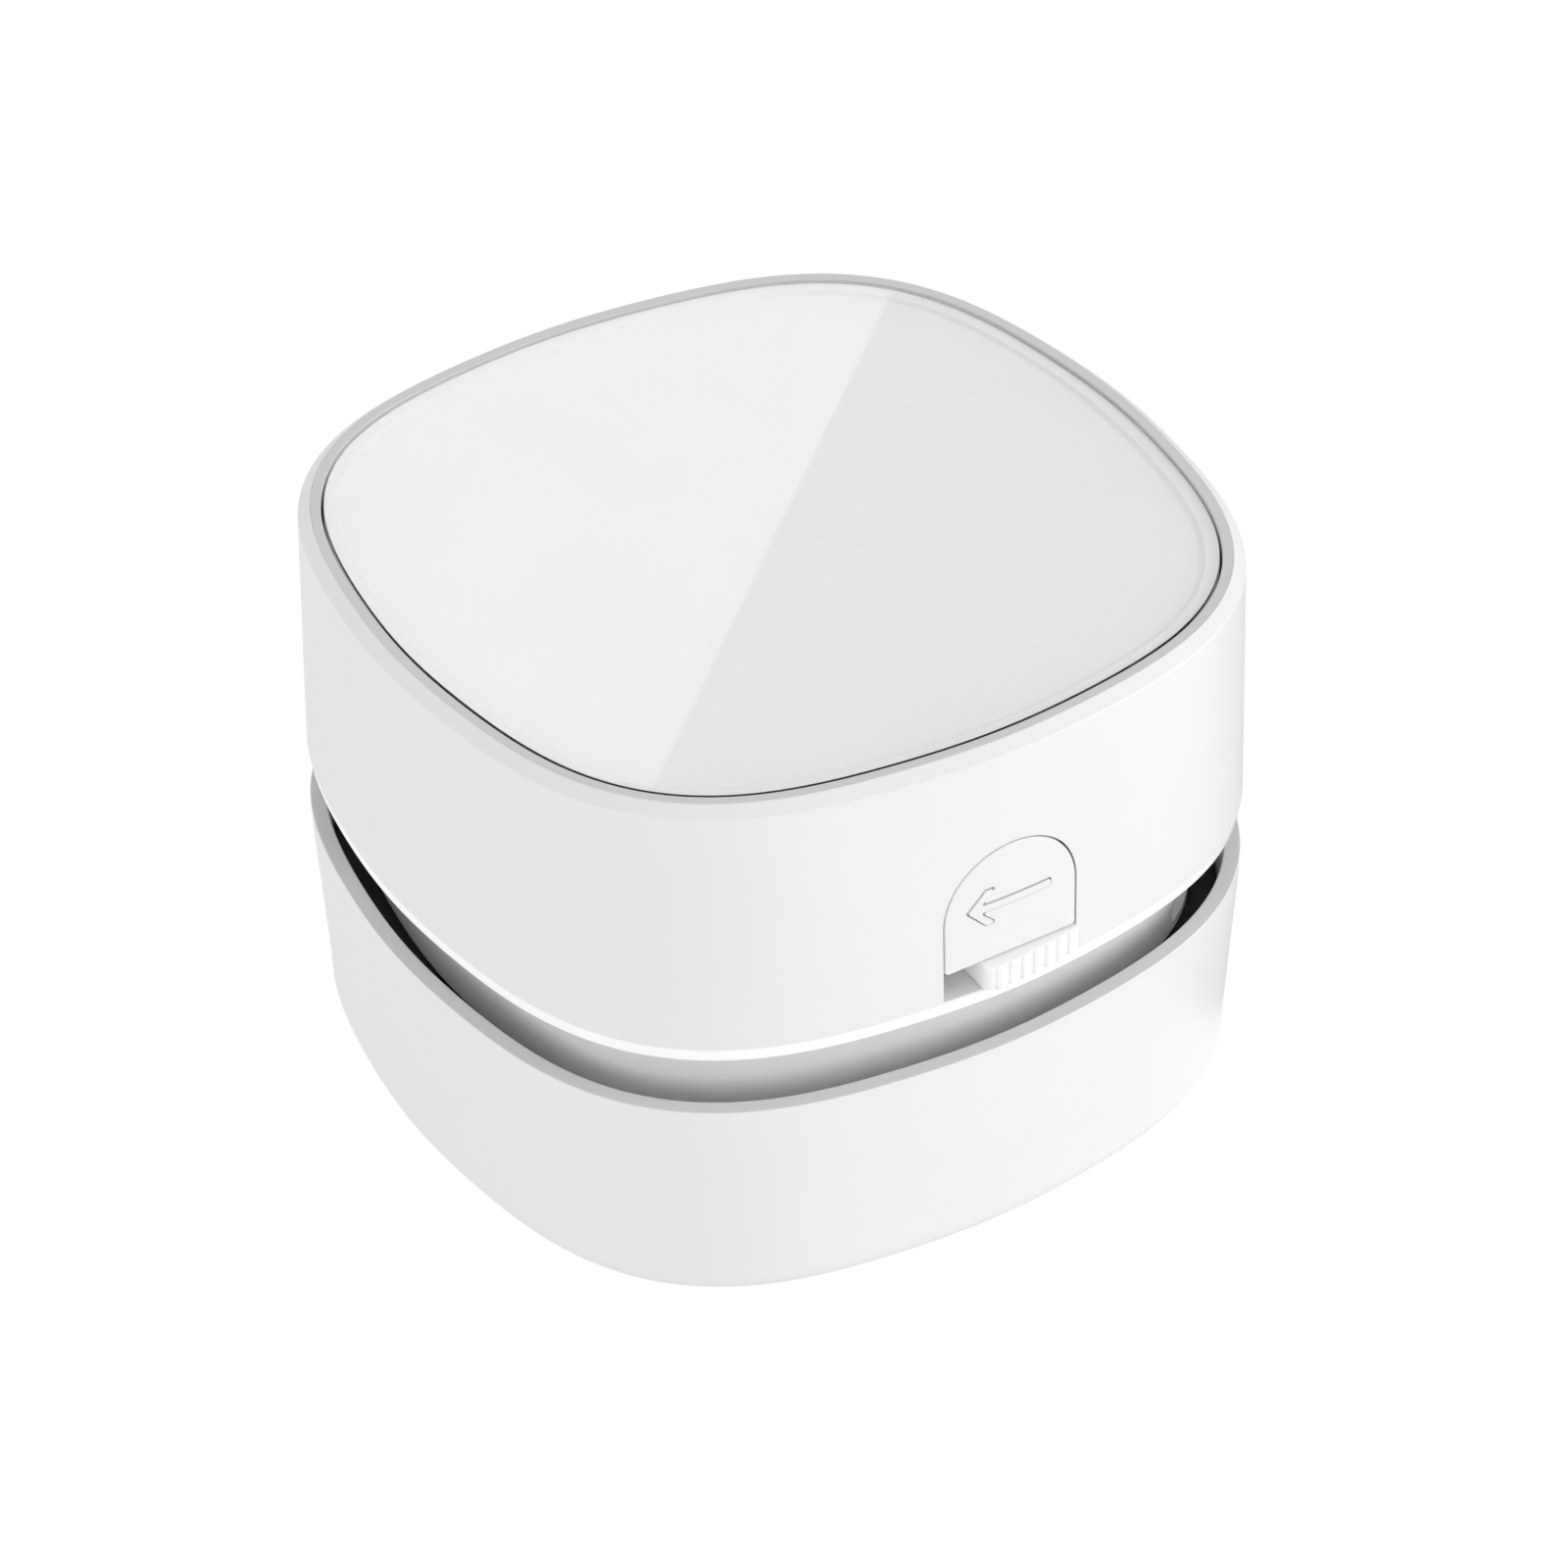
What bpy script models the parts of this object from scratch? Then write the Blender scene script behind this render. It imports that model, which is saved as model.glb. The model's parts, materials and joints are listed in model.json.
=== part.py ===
"""Desktop mini vacuum cleaner: a squircle dust bin with a lift-off motor unit above an open air gap.

Metres, +Z up. The origin is on the table under the middle of the object, and the release latch faces -Y.
Heights are measured from the table. A plan offset is a distance outward from the outline of the trim
ring, so every shell is one parallel curve of the same outline.
"""

import math

import bmesh
import bpy
import numpy as np
from mathutils import Matrix

MM = 0.001

# Plan outline: radius = PLAN_RADIUS * (1 + sum of share * cos(order * angle)), a circle with four flats
PLAN_RADIUS = 42.0 * MM
PLAN_SHARES = {4: -0.0477, 8: 0.0055, 12: 0.0004}
OUTLINE_POINTS = 48
ROUND_POINTS = 24
SMALL_POINTS = 10

# Heights of the main bodies
FOOT_HEIGHT = 1.0 * MM
BIN_HEIGHT = 23.8 * MM
AIR_GAP = 6.0 * MM
HOUSING_HEIGHT = 28.2 * MM

# Clearances
FIT_GAP = 0.3 * MM
RUNNING_GAP = 0.1 * MM
SEAM_GAP = 0.2 * MM
OVERRUN = 1.0 * MM
OVERLAP = 0.2 * MM

# Dust bin: its wall swells from the foot to the rim
BIN_WALL = 1.6 * MM
BIN_FLOOR = 1.6 * MM
BIN_FOOT_RADIUS = 2.5 * MM
BIN_FOOT_STEPS = 4
BIN_OFFSET_LOW = 1.45 * MM
BIN_OFFSET_MID = 1.88 * MM
BIN_OFFSET_HIGH = 2.25 * MM
BIN_MID_SHARE = 0.55
BIN_HIGH_SHARE = 0.88
BIN_RIM_BEVEL = 0.3 * MM
BIN_FLOOR_FILLET = 1.1 * MM
BIN_RIB_THICK = 1.6 * MM
BIN_RIB_REACH = 4.6 * MM
BIN_RIB_ANGLES = (0.0, 90.0, 180.0, 238.0, 302.0)
KEEPER_THICK = 1.5 * MM

# Bin base: a raised boss over a round recess that holds the brush
BASE_RECESS_RADIUS = 23.3 * MM
BASE_RECESS_DEPTH = 1.9 * MM
BASE_WEB = 1.5 * MM
BASE_BOSS_WALL = 1.7 * MM
FOOT_RADIUS = 4.0 * MM
FOOT_ANGLES = (45.0, 135.0, 225.0, 315.0)
FOOT_SEAT_DEPTH = 0.5 * MM

# Suction duct and flap
DUCT_BORE_RADIUS = 7.0 * MM
DUCT_WALL = 1.6 * MM
DUCT_DROP = 1.6 * MM
DUCT_RISE = 2.2 * MM
DUCT_FLANGE_RADIUS = 13.6 * MM
DUCT_FLANGE_THICK = 0.9 * MM
FLAP_THICK = 0.7 * MM
FLAP_LIP = 0.4 * MM
FLAP_ARM_HALF = 4.0 * MM
HINGE_PIN_RADIUS = 0.5 * MM
HINGE_KNUCKLE_RADIUS = 1.1 * MM
HINGE_SETBACK = 1.8 * MM
HINGE_HALF_WIDTH = 5.0 * MM
EAR_THICK = 1.6 * MM
EAR_DEPTH = 3.0 * MM

# Brush ring
BRUSH_THICK = 1.0 * MM
BRUSH_RIM_WIDTH = 1.2 * MM
BRUSH_GROOVE_WIDTH = 3.6 * MM
BRUSH_GROOVE_DEPTH = 0.6 * MM
BRISTLE_SLICE_THICK = 0.6 * MM
TUFT_COUNT = 24
TUFT_HALF = 0.7 * MM
TUFT_CLEARANCE = 0.15 * MM

# Neck frame, the recessed tub that carries the fan
NECK_INSET = 4.8 * MM
NECK_WALL = 1.6 * MM
NECK_DEPTH = 5.3 * MM
NECK_FLOOR = 1.2 * MM
FLANGE_RISE = 0.5 * MM
FLANGE_THICK = 1.2 * MM
WINDOW_SPANS = ((308.0, 344.0), (122.0, 159.0))
WINDOW_STEPS = 8
WINDOW_HEAD = 0.5 * MM
WINDOW_SILL = 0.2 * MM

# Seal between neck and bin
SEAL_THICK = 1.5 * MM
SEAL_WIDTH = 5.4 * MM
SEAL_PLAY = 0.2 * MM

# Filter
FILTER_POCKET_MARGIN = 10.0 * MM
FILTER_POCKET_WALL = 1.2 * MM
FILTER_POCKET_HEIGHT = 4.1 * MM
FILTER_WALL = 1.5 * MM
FILTER_FLANGE_WIDTH = 2.0 * MM
FILTER_FLANGE_THICK = 1.0 * MM
FILTER_BAR_WIDTH = 1.6 * MM
FILTER_BAR_THICK = 1.0 * MM
FILTER_TAB_LENGTH = 4.0 * MM
FILTER_TAB_DROP = 1.4 * MM
PLEAT_PITCH = 3.4 * MM
PLEAT_SHEET = 0.8 * MM

# Fan cover and its screws
FAN_COVER_THICK = 1.2 * MM
FAN_INLET_RADIUS = 9.0 * MM
FAN_LIP_WALL = 1.0 * MM
FAN_LIP_HEIGHT = 0.8 * MM
FAN_BOSS_GAP = 0.8 * MM
FAN_SCREW_ANGLES = (4.0, 184.0)
FAN_BOSS_RADIUS = 2.5 * MM
SMALL_SCREW_SHANK = 0.8 * MM
SMALL_SCREW_HEAD = 1.7 * MM
SMALL_SCREW_HEAD_THICK = 0.9 * MM
SMALL_SCREW_LENGTH = 3.2 * MM
BOARD_SCREW_LENGTH = 5.0 * MM
SCREW_SOCKET_SHARE = 0.45
SCREW_SOCKET_DEPTH_SHARE = 0.55

# Impeller and shaft
IMPELLER_MARGIN = 6.8 * MM
IMPELLER_DISC = 1.0 * MM
IMPELLER_HUB_RADIUS = 4.0 * MM
IMPELLER_HEAD_GAP = 1.0 * MM
BLADE_GAP = 0.9 * MM
BLADE_COUNT = 9
BLADE_THICK = 1.0 * MM
BLADE_INNER_SHARE = 0.48
BLADE_SWEEP = math.radians(38.0)
BLADE_STEPS = 5
SHAFT_RADIUS = 1.0 * MM
SHAFT_TAIL = 0.5 * MM

# Motor deck
DECK_SET_IN = 0.9 * MM
DECK_THICK = 2.0 * MM
COLLAR_HEIGHT = 5.4 * MM
COLLAR_WALL = 1.2 * MM
DAMPER_WALL = 1.1 * MM

# Motor
MOTOR_RADIUS = 12.2 * MM
MOTOR_HEADROOM = 5.15 * MM
MOTOR_WALL = 0.8 * MM
MOTOR_BASE = 1.0 * MM
END_CAP_THICK = 1.2 * MM
END_CAP_PLUG = 1.5 * MM
TERMINAL_HALF = 0.9 * MM
TERMINAL_THICK = 0.5 * MM
TERMINAL_HEIGHT = 1.3 * MM
TERMINAL_PLACE_SHARE = 0.55
BUSH_RADIUS = 2.2 * MM
BUSH_PROUD = 0.8 * MM
MOTOR_SCREW_CIRCLE = 8.0 * MM
MOTOR_SCREW_ANGLES = (20.0, 200.0)
MAGNET_THICK = 1.4 * MM
MAGNET_HALF_ANGLE = 64.0
MAGNET_STEPS = 10
ARMATURE_GAP = 0.4 * MM
POLE_COUNT = 3
POLE_HALF_ANGLE = 44.0
POLE_STEPS = 6
POLE_SHOE = 1.6 * MM
POLE_STEM_HALF = 1.4 * MM
ARMATURE_CORE_RADIUS = 3.0 * MM
COIL_THICK = 1.5 * MM
STACK_MARGIN_SHARE = 0.2

# Chassis screws, in deep sockets of the neck frame
CHASSIS_ANGLES = (45.0, 135.0, 225.0, 315.0)
CHASSIS_SHANK = 1.0 * MM
CHASSIS_HEAD = 1.9 * MM
CHASSIS_HEAD_THICK = 1.2 * MM
CHASSIS_BITE = 6.0 * MM
CHASSIS_WEB = 3.6 * MM
POST_WALL = 1.0 * MM
POST_GAP = 0.8 * MM
BOSS_RADIUS = 3.0 * MM

# Battery
CELL_GAP = 1.3 * MM
CELL_END_GAP = 0.97 * MM
CELL_NUB_RADIUS = 2.7 * MM
CELL_NUB_HEIGHT = 1.0 * MM
TAB_THICK = 0.3 * MM
TAB_HALF = 2.4 * MM
SADDLE_THICK = 3.0 * MM
SADDLE_HEIGHT = 3.6 * MM
SADDLE_PLACE_SHARE = 0.62

# Circuit board, its parts and the switch
BOARD_HALF_WIDTH = 14.0 * MM
BOARD_GAP = 2.3 * MM
BOARD_SETBACK = 0.15 * MM
BOARD_HEADROOM = 6.9 * MM
BOARD_THICK = 1.2 * MM
BOARD_POST_RADIUS = 2.4 * MM
BOARD_SCREW_INSET = 2.7 * MM
SWITCH_HALF = 3.0 * MM
SWITCH_HEIGHT = 4.0 * MM
SWITCH_SETBACK = 5.2 * MM
SWITCH_FLOOR = 1.4 * MM
PLUNGER_RADIUS = 1.6 * MM
CHIP_HEIGHT = 1.4 * MM
CHIP_HALF_LONG = 3.6 * MM
CHIP_HALF_SHORT = 2.4 * MM
CHIP_SHARES = (-0.54, 0.56)

# Charging socket in the rear wall
SOCKET_HALF_WIDTH = 4.5 * MM
SOCKET_HEIGHT = 3.2 * MM
SOCKET_LENGTH = 7.4 * MM
SOCKET_SKIN = 0.35 * MM
SOCKET_DEPTH = 6.0 * MM
SOCKET_RECESS = 0.9 * MM
TONGUE_HALF_WIDTH = 3.3 * MM
TONGUE_THICK = 0.7 * MM
TONGUE_LENGTH = 4.8 * MM

# Leads
LEAD_RADIUS = 0.5 * MM
LEAD_RISE = 2.0 * MM
LEAD_STEP = 3.5 * MM
LEAD_SIDES = 6

# Upper housing
HOUSING_FLARE = 2.2 * MM
HOUSING_DRAFT = math.radians(2.0)
HOUSING_WALL = 1.8 * MM
HOUSING_EDGE_BEVEL = 0.27 * MM
HOUSING_EDGE_HEIGHT = 1.5 * MM
TOP_FILLET = 1.3 * MM
TOP_FILLET_STEPS = 5
WELL_DEPTH = 7.3 * MM
WELL_FLOOR = 2.3 * MM
WELL_FLOOR_WIDTH = 10.0 * MM

# Trim ring, clear panel and tray
TRIM_OUTER_PLAY = 0.15 * MM
TRIM_WIDTH = 0.85 * MM
TRIM_HEIGHT = 3.0 * MM
PANEL_THICK = 1.5 * MM
PANEL_DROP = 0.25 * MM
PANEL_BEVEL = 0.15 * MM
TRAY_RIM_WIDTH = 1.2 * MM
TRAY_RECESS = 2.2 * MM
TRAY_FLOOR = 1.2 * MM
TRAY_FLANGE_THICK = 1.4 * MM
PRESS_TRAVEL = 1.2 * MM
GUIDE_POST_RADIUS = 1.3 * MM
GUIDE_REACH = 3.9 * MM
SPRING_POCKET_RADIUS = 3.0 * MM
SPRING_POCKET_FLOOR = 0.8 * MM
SPRING_RADIUS = 2.2 * MM
SPRING_WIRE = 0.25 * MM
SPRING_TURNS = 3
SPRING_TURN_POINTS = 7
SPRING_WIRE_SIDES = 5

# Release latch on the front wall
ARCH_HALF_WIDTH = 7.35 * MM
ARCH_STEPS = 15
ARCH_FLANGE_REACH = 0.5 * MM
ARCH_FLANGE_THICK = 1.0 * MM
SLOT_RISE = 1.65 * MM
SLOT_HEIGHT = 3.05 * MM
LIP_PROUD = 1.05 * MM
LIP_LENGTH = 10.36 * MM
LIP_END_PLAY = 0.59 * MM
LIP_STOP_GAP = 0.25 * MM
LIP_THICK = 0.8 * MM
LIP_RISE = 0.35 * MM
LIP_HEIGHT = 2.85 * MM
LIP_GROOVES = 7
LIP_GROOVE_EDGE = 1.2 * MM
LIP_GROOVE_TOP = 0.45 * MM
LIP_GROOVE_WIDTH = 0.6 * MM
LIP_GROOVE_DEPTH = 0.5 * MM
STEM_MARGIN = 0.3 * MM
CARRIAGE_HALF = 9.5 * MM
CARRIAGE_THICK = 1.7 * MM
CARRIAGE_HEIGHT = 3.6 * MM
LEG_HALF = 1.5 * MM
LEG_THICK = 1.5 * MM
LEG_INSET = 2.1 * MM
ARM_THICK = 1.3 * MM
TOOTH_REACH = 2.0 * MM
TOOTH_THICK = 1.2 * MM
GUIDE_RIB_LENGTH = 5.5 * MM
GUIDE_RIB_THICK = 1.5 * MM
SPRING_POST_THICK = 1.5 * MM
LATCH_SPRING_LENGTH = 6.4 * MM
LATCH_SPRING_RADIUS = 0.9 * MM
LATCH_SPRING_SET = 0.5 * MM
LATCH_SPRING_WIRE = 0.2 * MM
LATCH_SPRING_TURNS = 5

# Heights worked out from the sizes above
Z_BIN = FOOT_HEIGHT
Z_RIM = Z_BIN + BIN_HEIGHT
Z_HOUSING = Z_RIM + AIR_GAP
Z_TOP = Z_HOUSING + HOUSING_HEIGHT
Z_WEB = Z_BIN + BASE_RECESS_DEPTH
Z_BOSS = Z_WEB + BASE_WEB
Z_DUCT = Z_BOSS + DUCT_RISE
Z_HINGE = Z_DUCT + FIT_GAP + FLAP_THICK / 2
Z_NECK = Z_RIM - NECK_DEPTH
Z_NECK_FLOOR = Z_NECK + NECK_FLOOR
Z_FLANGE = Z_HOUSING + FLANGE_RISE
Z_NECK_TOP = Z_FLANGE + FLANGE_THICK
Z_SEAL = Z_NECK - FIT_GAP
Z_SEAL_LOW = Z_SEAL - SEAL_THICK
Z_POCKET = Z_NECK + FILTER_POCKET_HEIGHT
Z_COVER = Z_POCKET + FIT_GAP
Z_COVER_TOP = Z_COVER + FAN_COVER_THICK
Z_DECK = Z_NECK_TOP + FIT_GAP
Z_DECK_TOP = Z_DECK + DECK_THICK
Z_MOTOR = Z_DECK_TOP + FIT_GAP
Z_WELL = Z_TOP - WELL_DEPTH
Z_WELL_LOW = Z_WELL - WELL_FLOOR
Z_TRIM = Z_TOP - TRIM_HEIGHT
Z_PANEL_TOP = Z_TOP - PANEL_DROP
Z_PANEL = Z_PANEL_TOP - PANEL_THICK
Z_TRAY_RIM = Z_PANEL - FIT_GAP
Z_TRAY_FLOOR = Z_TRAY_RIM - TRAY_RECESS
Z_TRAY = Z_TRAY_FLOOR - TRAY_FLOOR
Z_END_CAP_TOP = Z_TRAY - MOTOR_HEADROOM
Z_END_CAP = Z_END_CAP_TOP - END_CAP_THICK
Z_MOTOR_TOP = Z_END_CAP - FIT_GAP
CELL_RADIUS = (Z_WELL_LOW - Z_DECK_TOP) / 2 - FIT_GAP
Z_CELL = Z_DECK_TOP + FIT_GAP + CELL_RADIUS
Z_BOARD = Z_WELL_LOW - BOARD_HEADROOM
Z_BOARD_TOP = Z_BOARD + BOARD_THICK
Z_SLOT = Z_HOUSING + SLOT_RISE
Z_SLOT_TOP = Z_SLOT + SLOT_HEIGHT
Z_CARRIAGE = Z_NECK_TOP + FIT_GAP
Z_CARRIAGE_TOP = Z_CARRIAGE + CARRIAGE_HEIGHT
Z_ARCH_SPRING = Z_WELL_LOW - FIT_GAP - ARCH_FLANGE_REACH - ARCH_HALF_WIDTH
Z_SOCKET = Z_BOARD_TOP + FIT_GAP

# Plan offsets worked out from the sizes above
NECK_OUTER = HOUSING_FLARE - NECK_INSET
NECK_INNER = NECK_OUTER - NECK_WALL
DECK_OUTER = NECK_OUTER - DECK_SET_IN
TRIM_INNER = -TRIM_OUTER_PLAY - TRIM_WIDTH
PANEL_OUTER = TRIM_INNER - FIT_GAP

# Plan places worked out from the sizes above: half the width across the flats and across the corners
FLAT_RADIUS = PLAN_RADIUS * (1 + sum(PLAN_SHARES.values()))
CORNER_RADIUS = PLAN_RADIUS * (1 + sum(s * math.cos(k * math.pi / 4) for k, s in PLAN_SHARES.items()))
FOOT_CIRCLE = (BASE_RECESS_RADIUS + CORNER_RADIUS + BIN_OFFSET_LOW - BIN_FOOT_RADIUS) / 2
BRUSH_GROOVE_INNER = BASE_RECESS_RADIUS - FIT_GAP - BRUSH_RIM_WIDTH - BRUSH_GROOVE_WIDTH
FILTER_POCKET_RADIUS = FLAT_RADIUS + NECK_INNER - FILTER_POCKET_MARGIN
FAN_SCREW_CIRCLE = FILTER_POCKET_RADIUS + FILTER_POCKET_WALL + FAN_BOSS_RADIUS + FAN_BOSS_GAP
IMPELLER_RADIUS = FAN_SCREW_CIRCLE - SMALL_SCREW_HEAD - IMPELLER_MARGIN
CHASSIS_CIRCLE = CORNER_RADIUS + NECK_INNER - CHASSIS_HEAD - FIT_GAP - POST_WALL - POST_GAP
COLLAR_RADIUS = MOTOR_RADIUS + FIT_GAP + DAMPER_WALL + FIT_GAP + COLLAR_WALL
CELL_X = COLLAR_RADIUS + CELL_GAP + CELL_RADIUS
CELL_LENGTH = 2 * (CHASSIS_CIRCLE * math.sqrt(0.5) - BOSS_RADIUS - CELL_END_GAP)
BOARD_FRONT = COLLAR_RADIUS + BOARD_GAP
BOARD_BACK = FLAT_RADIUS + DECK_OUTER - BOARD_SETBACK
SWITCH_Y = BOARD_FRONT + SWITCH_SETBACK
LIP_END = ARCH_HALF_WIDTH - LIP_END_PLAY
LIP_START = LIP_END - LIP_LENGTH
SLIDER_TRAVEL = LIP_START + ARCH_HALF_WIDTH - LIP_STOP_GAP


def plan_points(offset, angles):
    """The outline's points at the given angles, moved outward along the outline's normal."""
    share = sum(s * np.cos(k * angles) for k, s in PLAN_SHARES.items())
    slope = -sum(s * k * np.sin(k * angles) for k, s in PLAN_SHARES.items()) * PLAN_RADIUS
    radius = PLAN_RADIUS * (1 + share)
    along = np.stack([np.cos(angles), np.sin(angles)], 1)
    across = np.stack([-np.sin(angles), np.cos(angles)], 1)
    tangent = slope[:, None] * along + radius[:, None] * across
    normal = np.stack([tangent[:, 1], -tangent[:, 0]], 1)
    normal /= np.linalg.norm(normal, axis=1, keepdims=True)
    return radius[:, None] * along + offset * normal


def flat_half_width(offset):
    """Half the width across the flats at a plan offset."""
    return plan_points(offset, np.zeros(1))[0, 0]


def wall_offset(height):
    """Plan offset of the housing's outer wall, which leans in by its draft towards the top."""
    return HOUSING_FLARE - math.tan(HOUSING_DRAFT) * (height - Z_HOUSING)


def inner_offset(height):
    """Plan offset of the housing's inner wall."""
    return wall_offset(height) - HOUSING_WALL


def guide_circle():
    """Radius of the guide posts' circle, along the middle of the well floor."""
    return flat_half_width(inner_offset(Z_WELL)) - WELL_FLOOR_WIDTH / 2


def bin_offset(height):
    """Plan offset of the bin's outer wall, in two straight lengths."""
    span = Z_RIM - Z_BIN
    levels = [Z_BIN + BIN_FOOT_RADIUS, Z_BIN + BIN_MID_SHARE * span, Z_BIN + BIN_HIGH_SHARE * span]
    return float(np.interp(height, levels, [BIN_OFFSET_LOW, BIN_OFFSET_MID, BIN_OFFSET_HIGH]))


def full_turn(count):
    """Equal angles round a full turn."""
    return np.arange(count) * 2 * math.pi / count


def outline_ring(offset, height, count=OUTLINE_POINTS):
    """One level ring of the plan outline."""
    points = plan_points(offset, full_turn(count))
    return np.column_stack([points, np.full(count, height)])


def circle_ring(radius, height, count=ROUND_POINTS, centre=(0.0, 0.0)):
    """One level circle."""
    angles = full_turn(count)
    x = centre[0] + radius * np.cos(angles)
    y = centre[1] + radius * np.sin(angles)
    return np.column_stack([x, y, np.full(count, height)])


def polar(radius, degrees):
    """Plan position at a radius and an angle."""
    angle = math.radians(degrees)
    return (radius * math.cos(angle), radius * math.sin(angle))


def mesh_object(name, mesh_data):
    """A Blender object made from a bmesh with its faces pointing out."""
    bmesh.ops.recalc_face_normals(mesh_data, faces=mesh_data.faces)
    mesh = bpy.data.meshes.new(name)
    mesh_data.to_mesh(mesh)
    mesh_data.free()
    item = bpy.data.objects.new(name, mesh)
    bpy.context.scene.collection.objects.link(item)
    return item


def from_rings(rings, loop=False, name="rings"):
    """A solid skinned over rings of equal count; open ends are capped, and a loop closes on itself."""
    made = bmesh.new()
    rows = [[made.verts.new(point) for point in ring] for ring in rings]
    pairs = list(zip(rows, rows[1:]))
    if loop:
        pairs.append((rows[-1], rows[0]))
    for low, high in pairs:
        for i in range(len(low)):
            j = (i + 1) % len(low)
            made.faces.new((low[i], low[j], high[j], high[i]))
    if not loop:
        made.faces.new(rows[0])
        made.faces.new(rows[-1])
    return mesh_object(name, made)


def block(low, high, name="block"):
    """A box between two corners."""
    x0, y0, z0 = low
    x1, y1, z1 = high
    corners = [(x0, y0), (x1, y0), (x1, y1), (x0, y1)]
    return from_rings([[(x, y, z) for x, y in corners] for z in (z0, z1)], name=name)


def rod(radius, low, high, centre=(0.0, 0.0), count=SMALL_POINTS, name="rod"):
    """An upright cylinder."""
    rings = [circle_ring(radius, low, count, centre), circle_ring(radius, high, count, centre)]
    return from_rings(rings, name=name)


def collar(inner, outer, low, high, centre=(0.0, 0.0), count=ROUND_POINTS, name="collar"):
    """An upright tube."""
    pairs = [(inner, low), (outer, low), (outer, high), (inner, high)]
    return from_rings([circle_ring(r, z, count, centre) for r, z in pairs], loop=True, name=name)


def prism(points, axis, low, high, name="prism"):
    """A flat outline carried along X, Y or Z; its points are the two other coordinates in order."""
    order = {"x": (2, 0, 1), "y": (0, 2, 1), "z": (0, 1, 2)}[axis]
    rings = []
    for level in (low, high):
        flat = np.column_stack([np.array(points), np.full(len(points), level)])
        rings.append(flat[:, order])
    return from_rings(rings, name=name)


def circle_points(centre, radius, count):
    """Flat points round a circle."""
    return [(centre[0] + radius * math.cos(a), centre[1] + radius * math.sin(a)) for a in full_turn(count)]


def sector(inner, outer, half_angle, middle_angle, steps):
    """Flat outline of a ring's sector, in degrees about a middle angle."""
    angles = np.radians(np.linspace(middle_angle - half_angle, middle_angle + half_angle, steps + 1))
    out = [(outer * math.cos(a), outer * math.sin(a)) for a in angles]
    back = [(inner * math.cos(a), inner * math.sin(a)) for a in angles[::-1]]
    return out + back


def stadium(half_width, height, centre_z, steps=5):
    """Flat outline with round ends, as wide as two half widths."""
    radius = height / 2
    points = []
    for side, start in ((1, -90), (-1, 90)):
        for angle in np.radians(np.linspace(start, start + 180, steps + 1)):
            x = side * (half_width - radius) + radius * math.cos(angle)
            points.append((x, centre_z + radius * math.sin(angle)))
    return points


def combine(target, tools, operation):
    """Applies one Boolean after another and removes its tools."""
    for tool in tools:
        cut = target.modifiers.new("cut", "BOOLEAN")
        cut.operation = operation
        cut.object = tool
        cut.solver = "EXACT"
        deps = bpy.context.evaluated_depsgraph_get()
        mesh = bpy.data.meshes.new_from_object(target.evaluated_get(deps))
        target.modifiers.clear()
        old = target.data
        target.data = mesh
        bpy.data.meshes.remove(old)
        bpy.data.meshes.remove(tool.data)
    return target


def turned(item, degrees, axis="Z"):
    """Turns a piece about an axis through the origin, in its mesh."""
    item.data.transform(Matrix.Rotation(math.radians(degrees), 4, axis))
    return item


def shifted(item, shift):
    """Moves a piece in its mesh."""
    item.data.transform(Matrix.Translation(shift))
    return item


def gather(items, name):
    """Several separate solids as one object."""
    made = bmesh.new()
    for item in items:
        made.from_mesh(item.data)
        bpy.data.meshes.remove(item.data)
    return mesh_object(name, made)


def helix(radius, wire, turns, turn_points, low, high):
    """A spring of round wire as an unbroken tube between two heights, on the Z axis."""
    count = turns * turn_points + 1
    steps = np.linspace(0.0, 1.0, count)
    angles = steps * turns * 2 * math.pi
    heights = low + wire + steps * (high - low - 2 * wire)
    rings = []
    for angle, height in zip(angles, heights):
        around = full_turn(SPRING_WIRE_SIDES)
        reach = radius + wire * np.cos(around)
        rings.append(np.column_stack([reach * math.cos(angle), reach * math.sin(angle),
                                      height + wire * np.sin(around)]))
    return from_rings(rings, name="helix")


def smooth_tube(points, radius, name):
    """A round lead along a smooth curve through hand-chosen points."""
    route = np.array(points)
    at = np.concatenate([[0.0], np.cumsum(np.linalg.norm(np.diff(route, axis=0), axis=1))])
    fine = np.linspace(0.0, at[-1], int(at[-1] / LEAD_STEP) + 3)
    path = np.column_stack([np.interp(fine, at, route[:, k]) for k in range(3)])
    for _ in range(2):
        path[1:-1] = (path[:-2] + 2 * path[1:-1] + path[2:]) / 4
    rings = []
    for i, point in enumerate(path):
        ahead = path[min(i + 1, len(path) - 1)] - path[max(i - 1, 0)]
        ahead /= np.linalg.norm(ahead)
        side = np.cross(ahead, (1.0, 0.3, 0.2))
        side /= np.linalg.norm(side)
        other = np.cross(ahead, side)
        rings.append([point + radius * (math.cos(a) * side + math.sin(a) * other)
                      for a in full_turn(LEAD_SIDES)])
    return from_rings(rings, name=name)


def screw(shank, head, head_thick, head_low, tip, centre):
    """A pan-head screw with a hexagon socket; its tip is above its head."""
    socket = head * SCREW_SOCKET_SHARE
    depth = head_thick * SCREW_SOCKET_DEPTH_SHARE
    away = 1 if tip > head_low else -1
    levels = [(socket, head_low + away * depth), (socket, head_low), (head, head_low),
              (head, head_low + away * head_thick), (shank, head_low + away * head_thick), (shank, tip)]
    return from_rings([circle_ring(r, z, SMALL_POINTS, centre) for r, z in levels])


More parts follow.
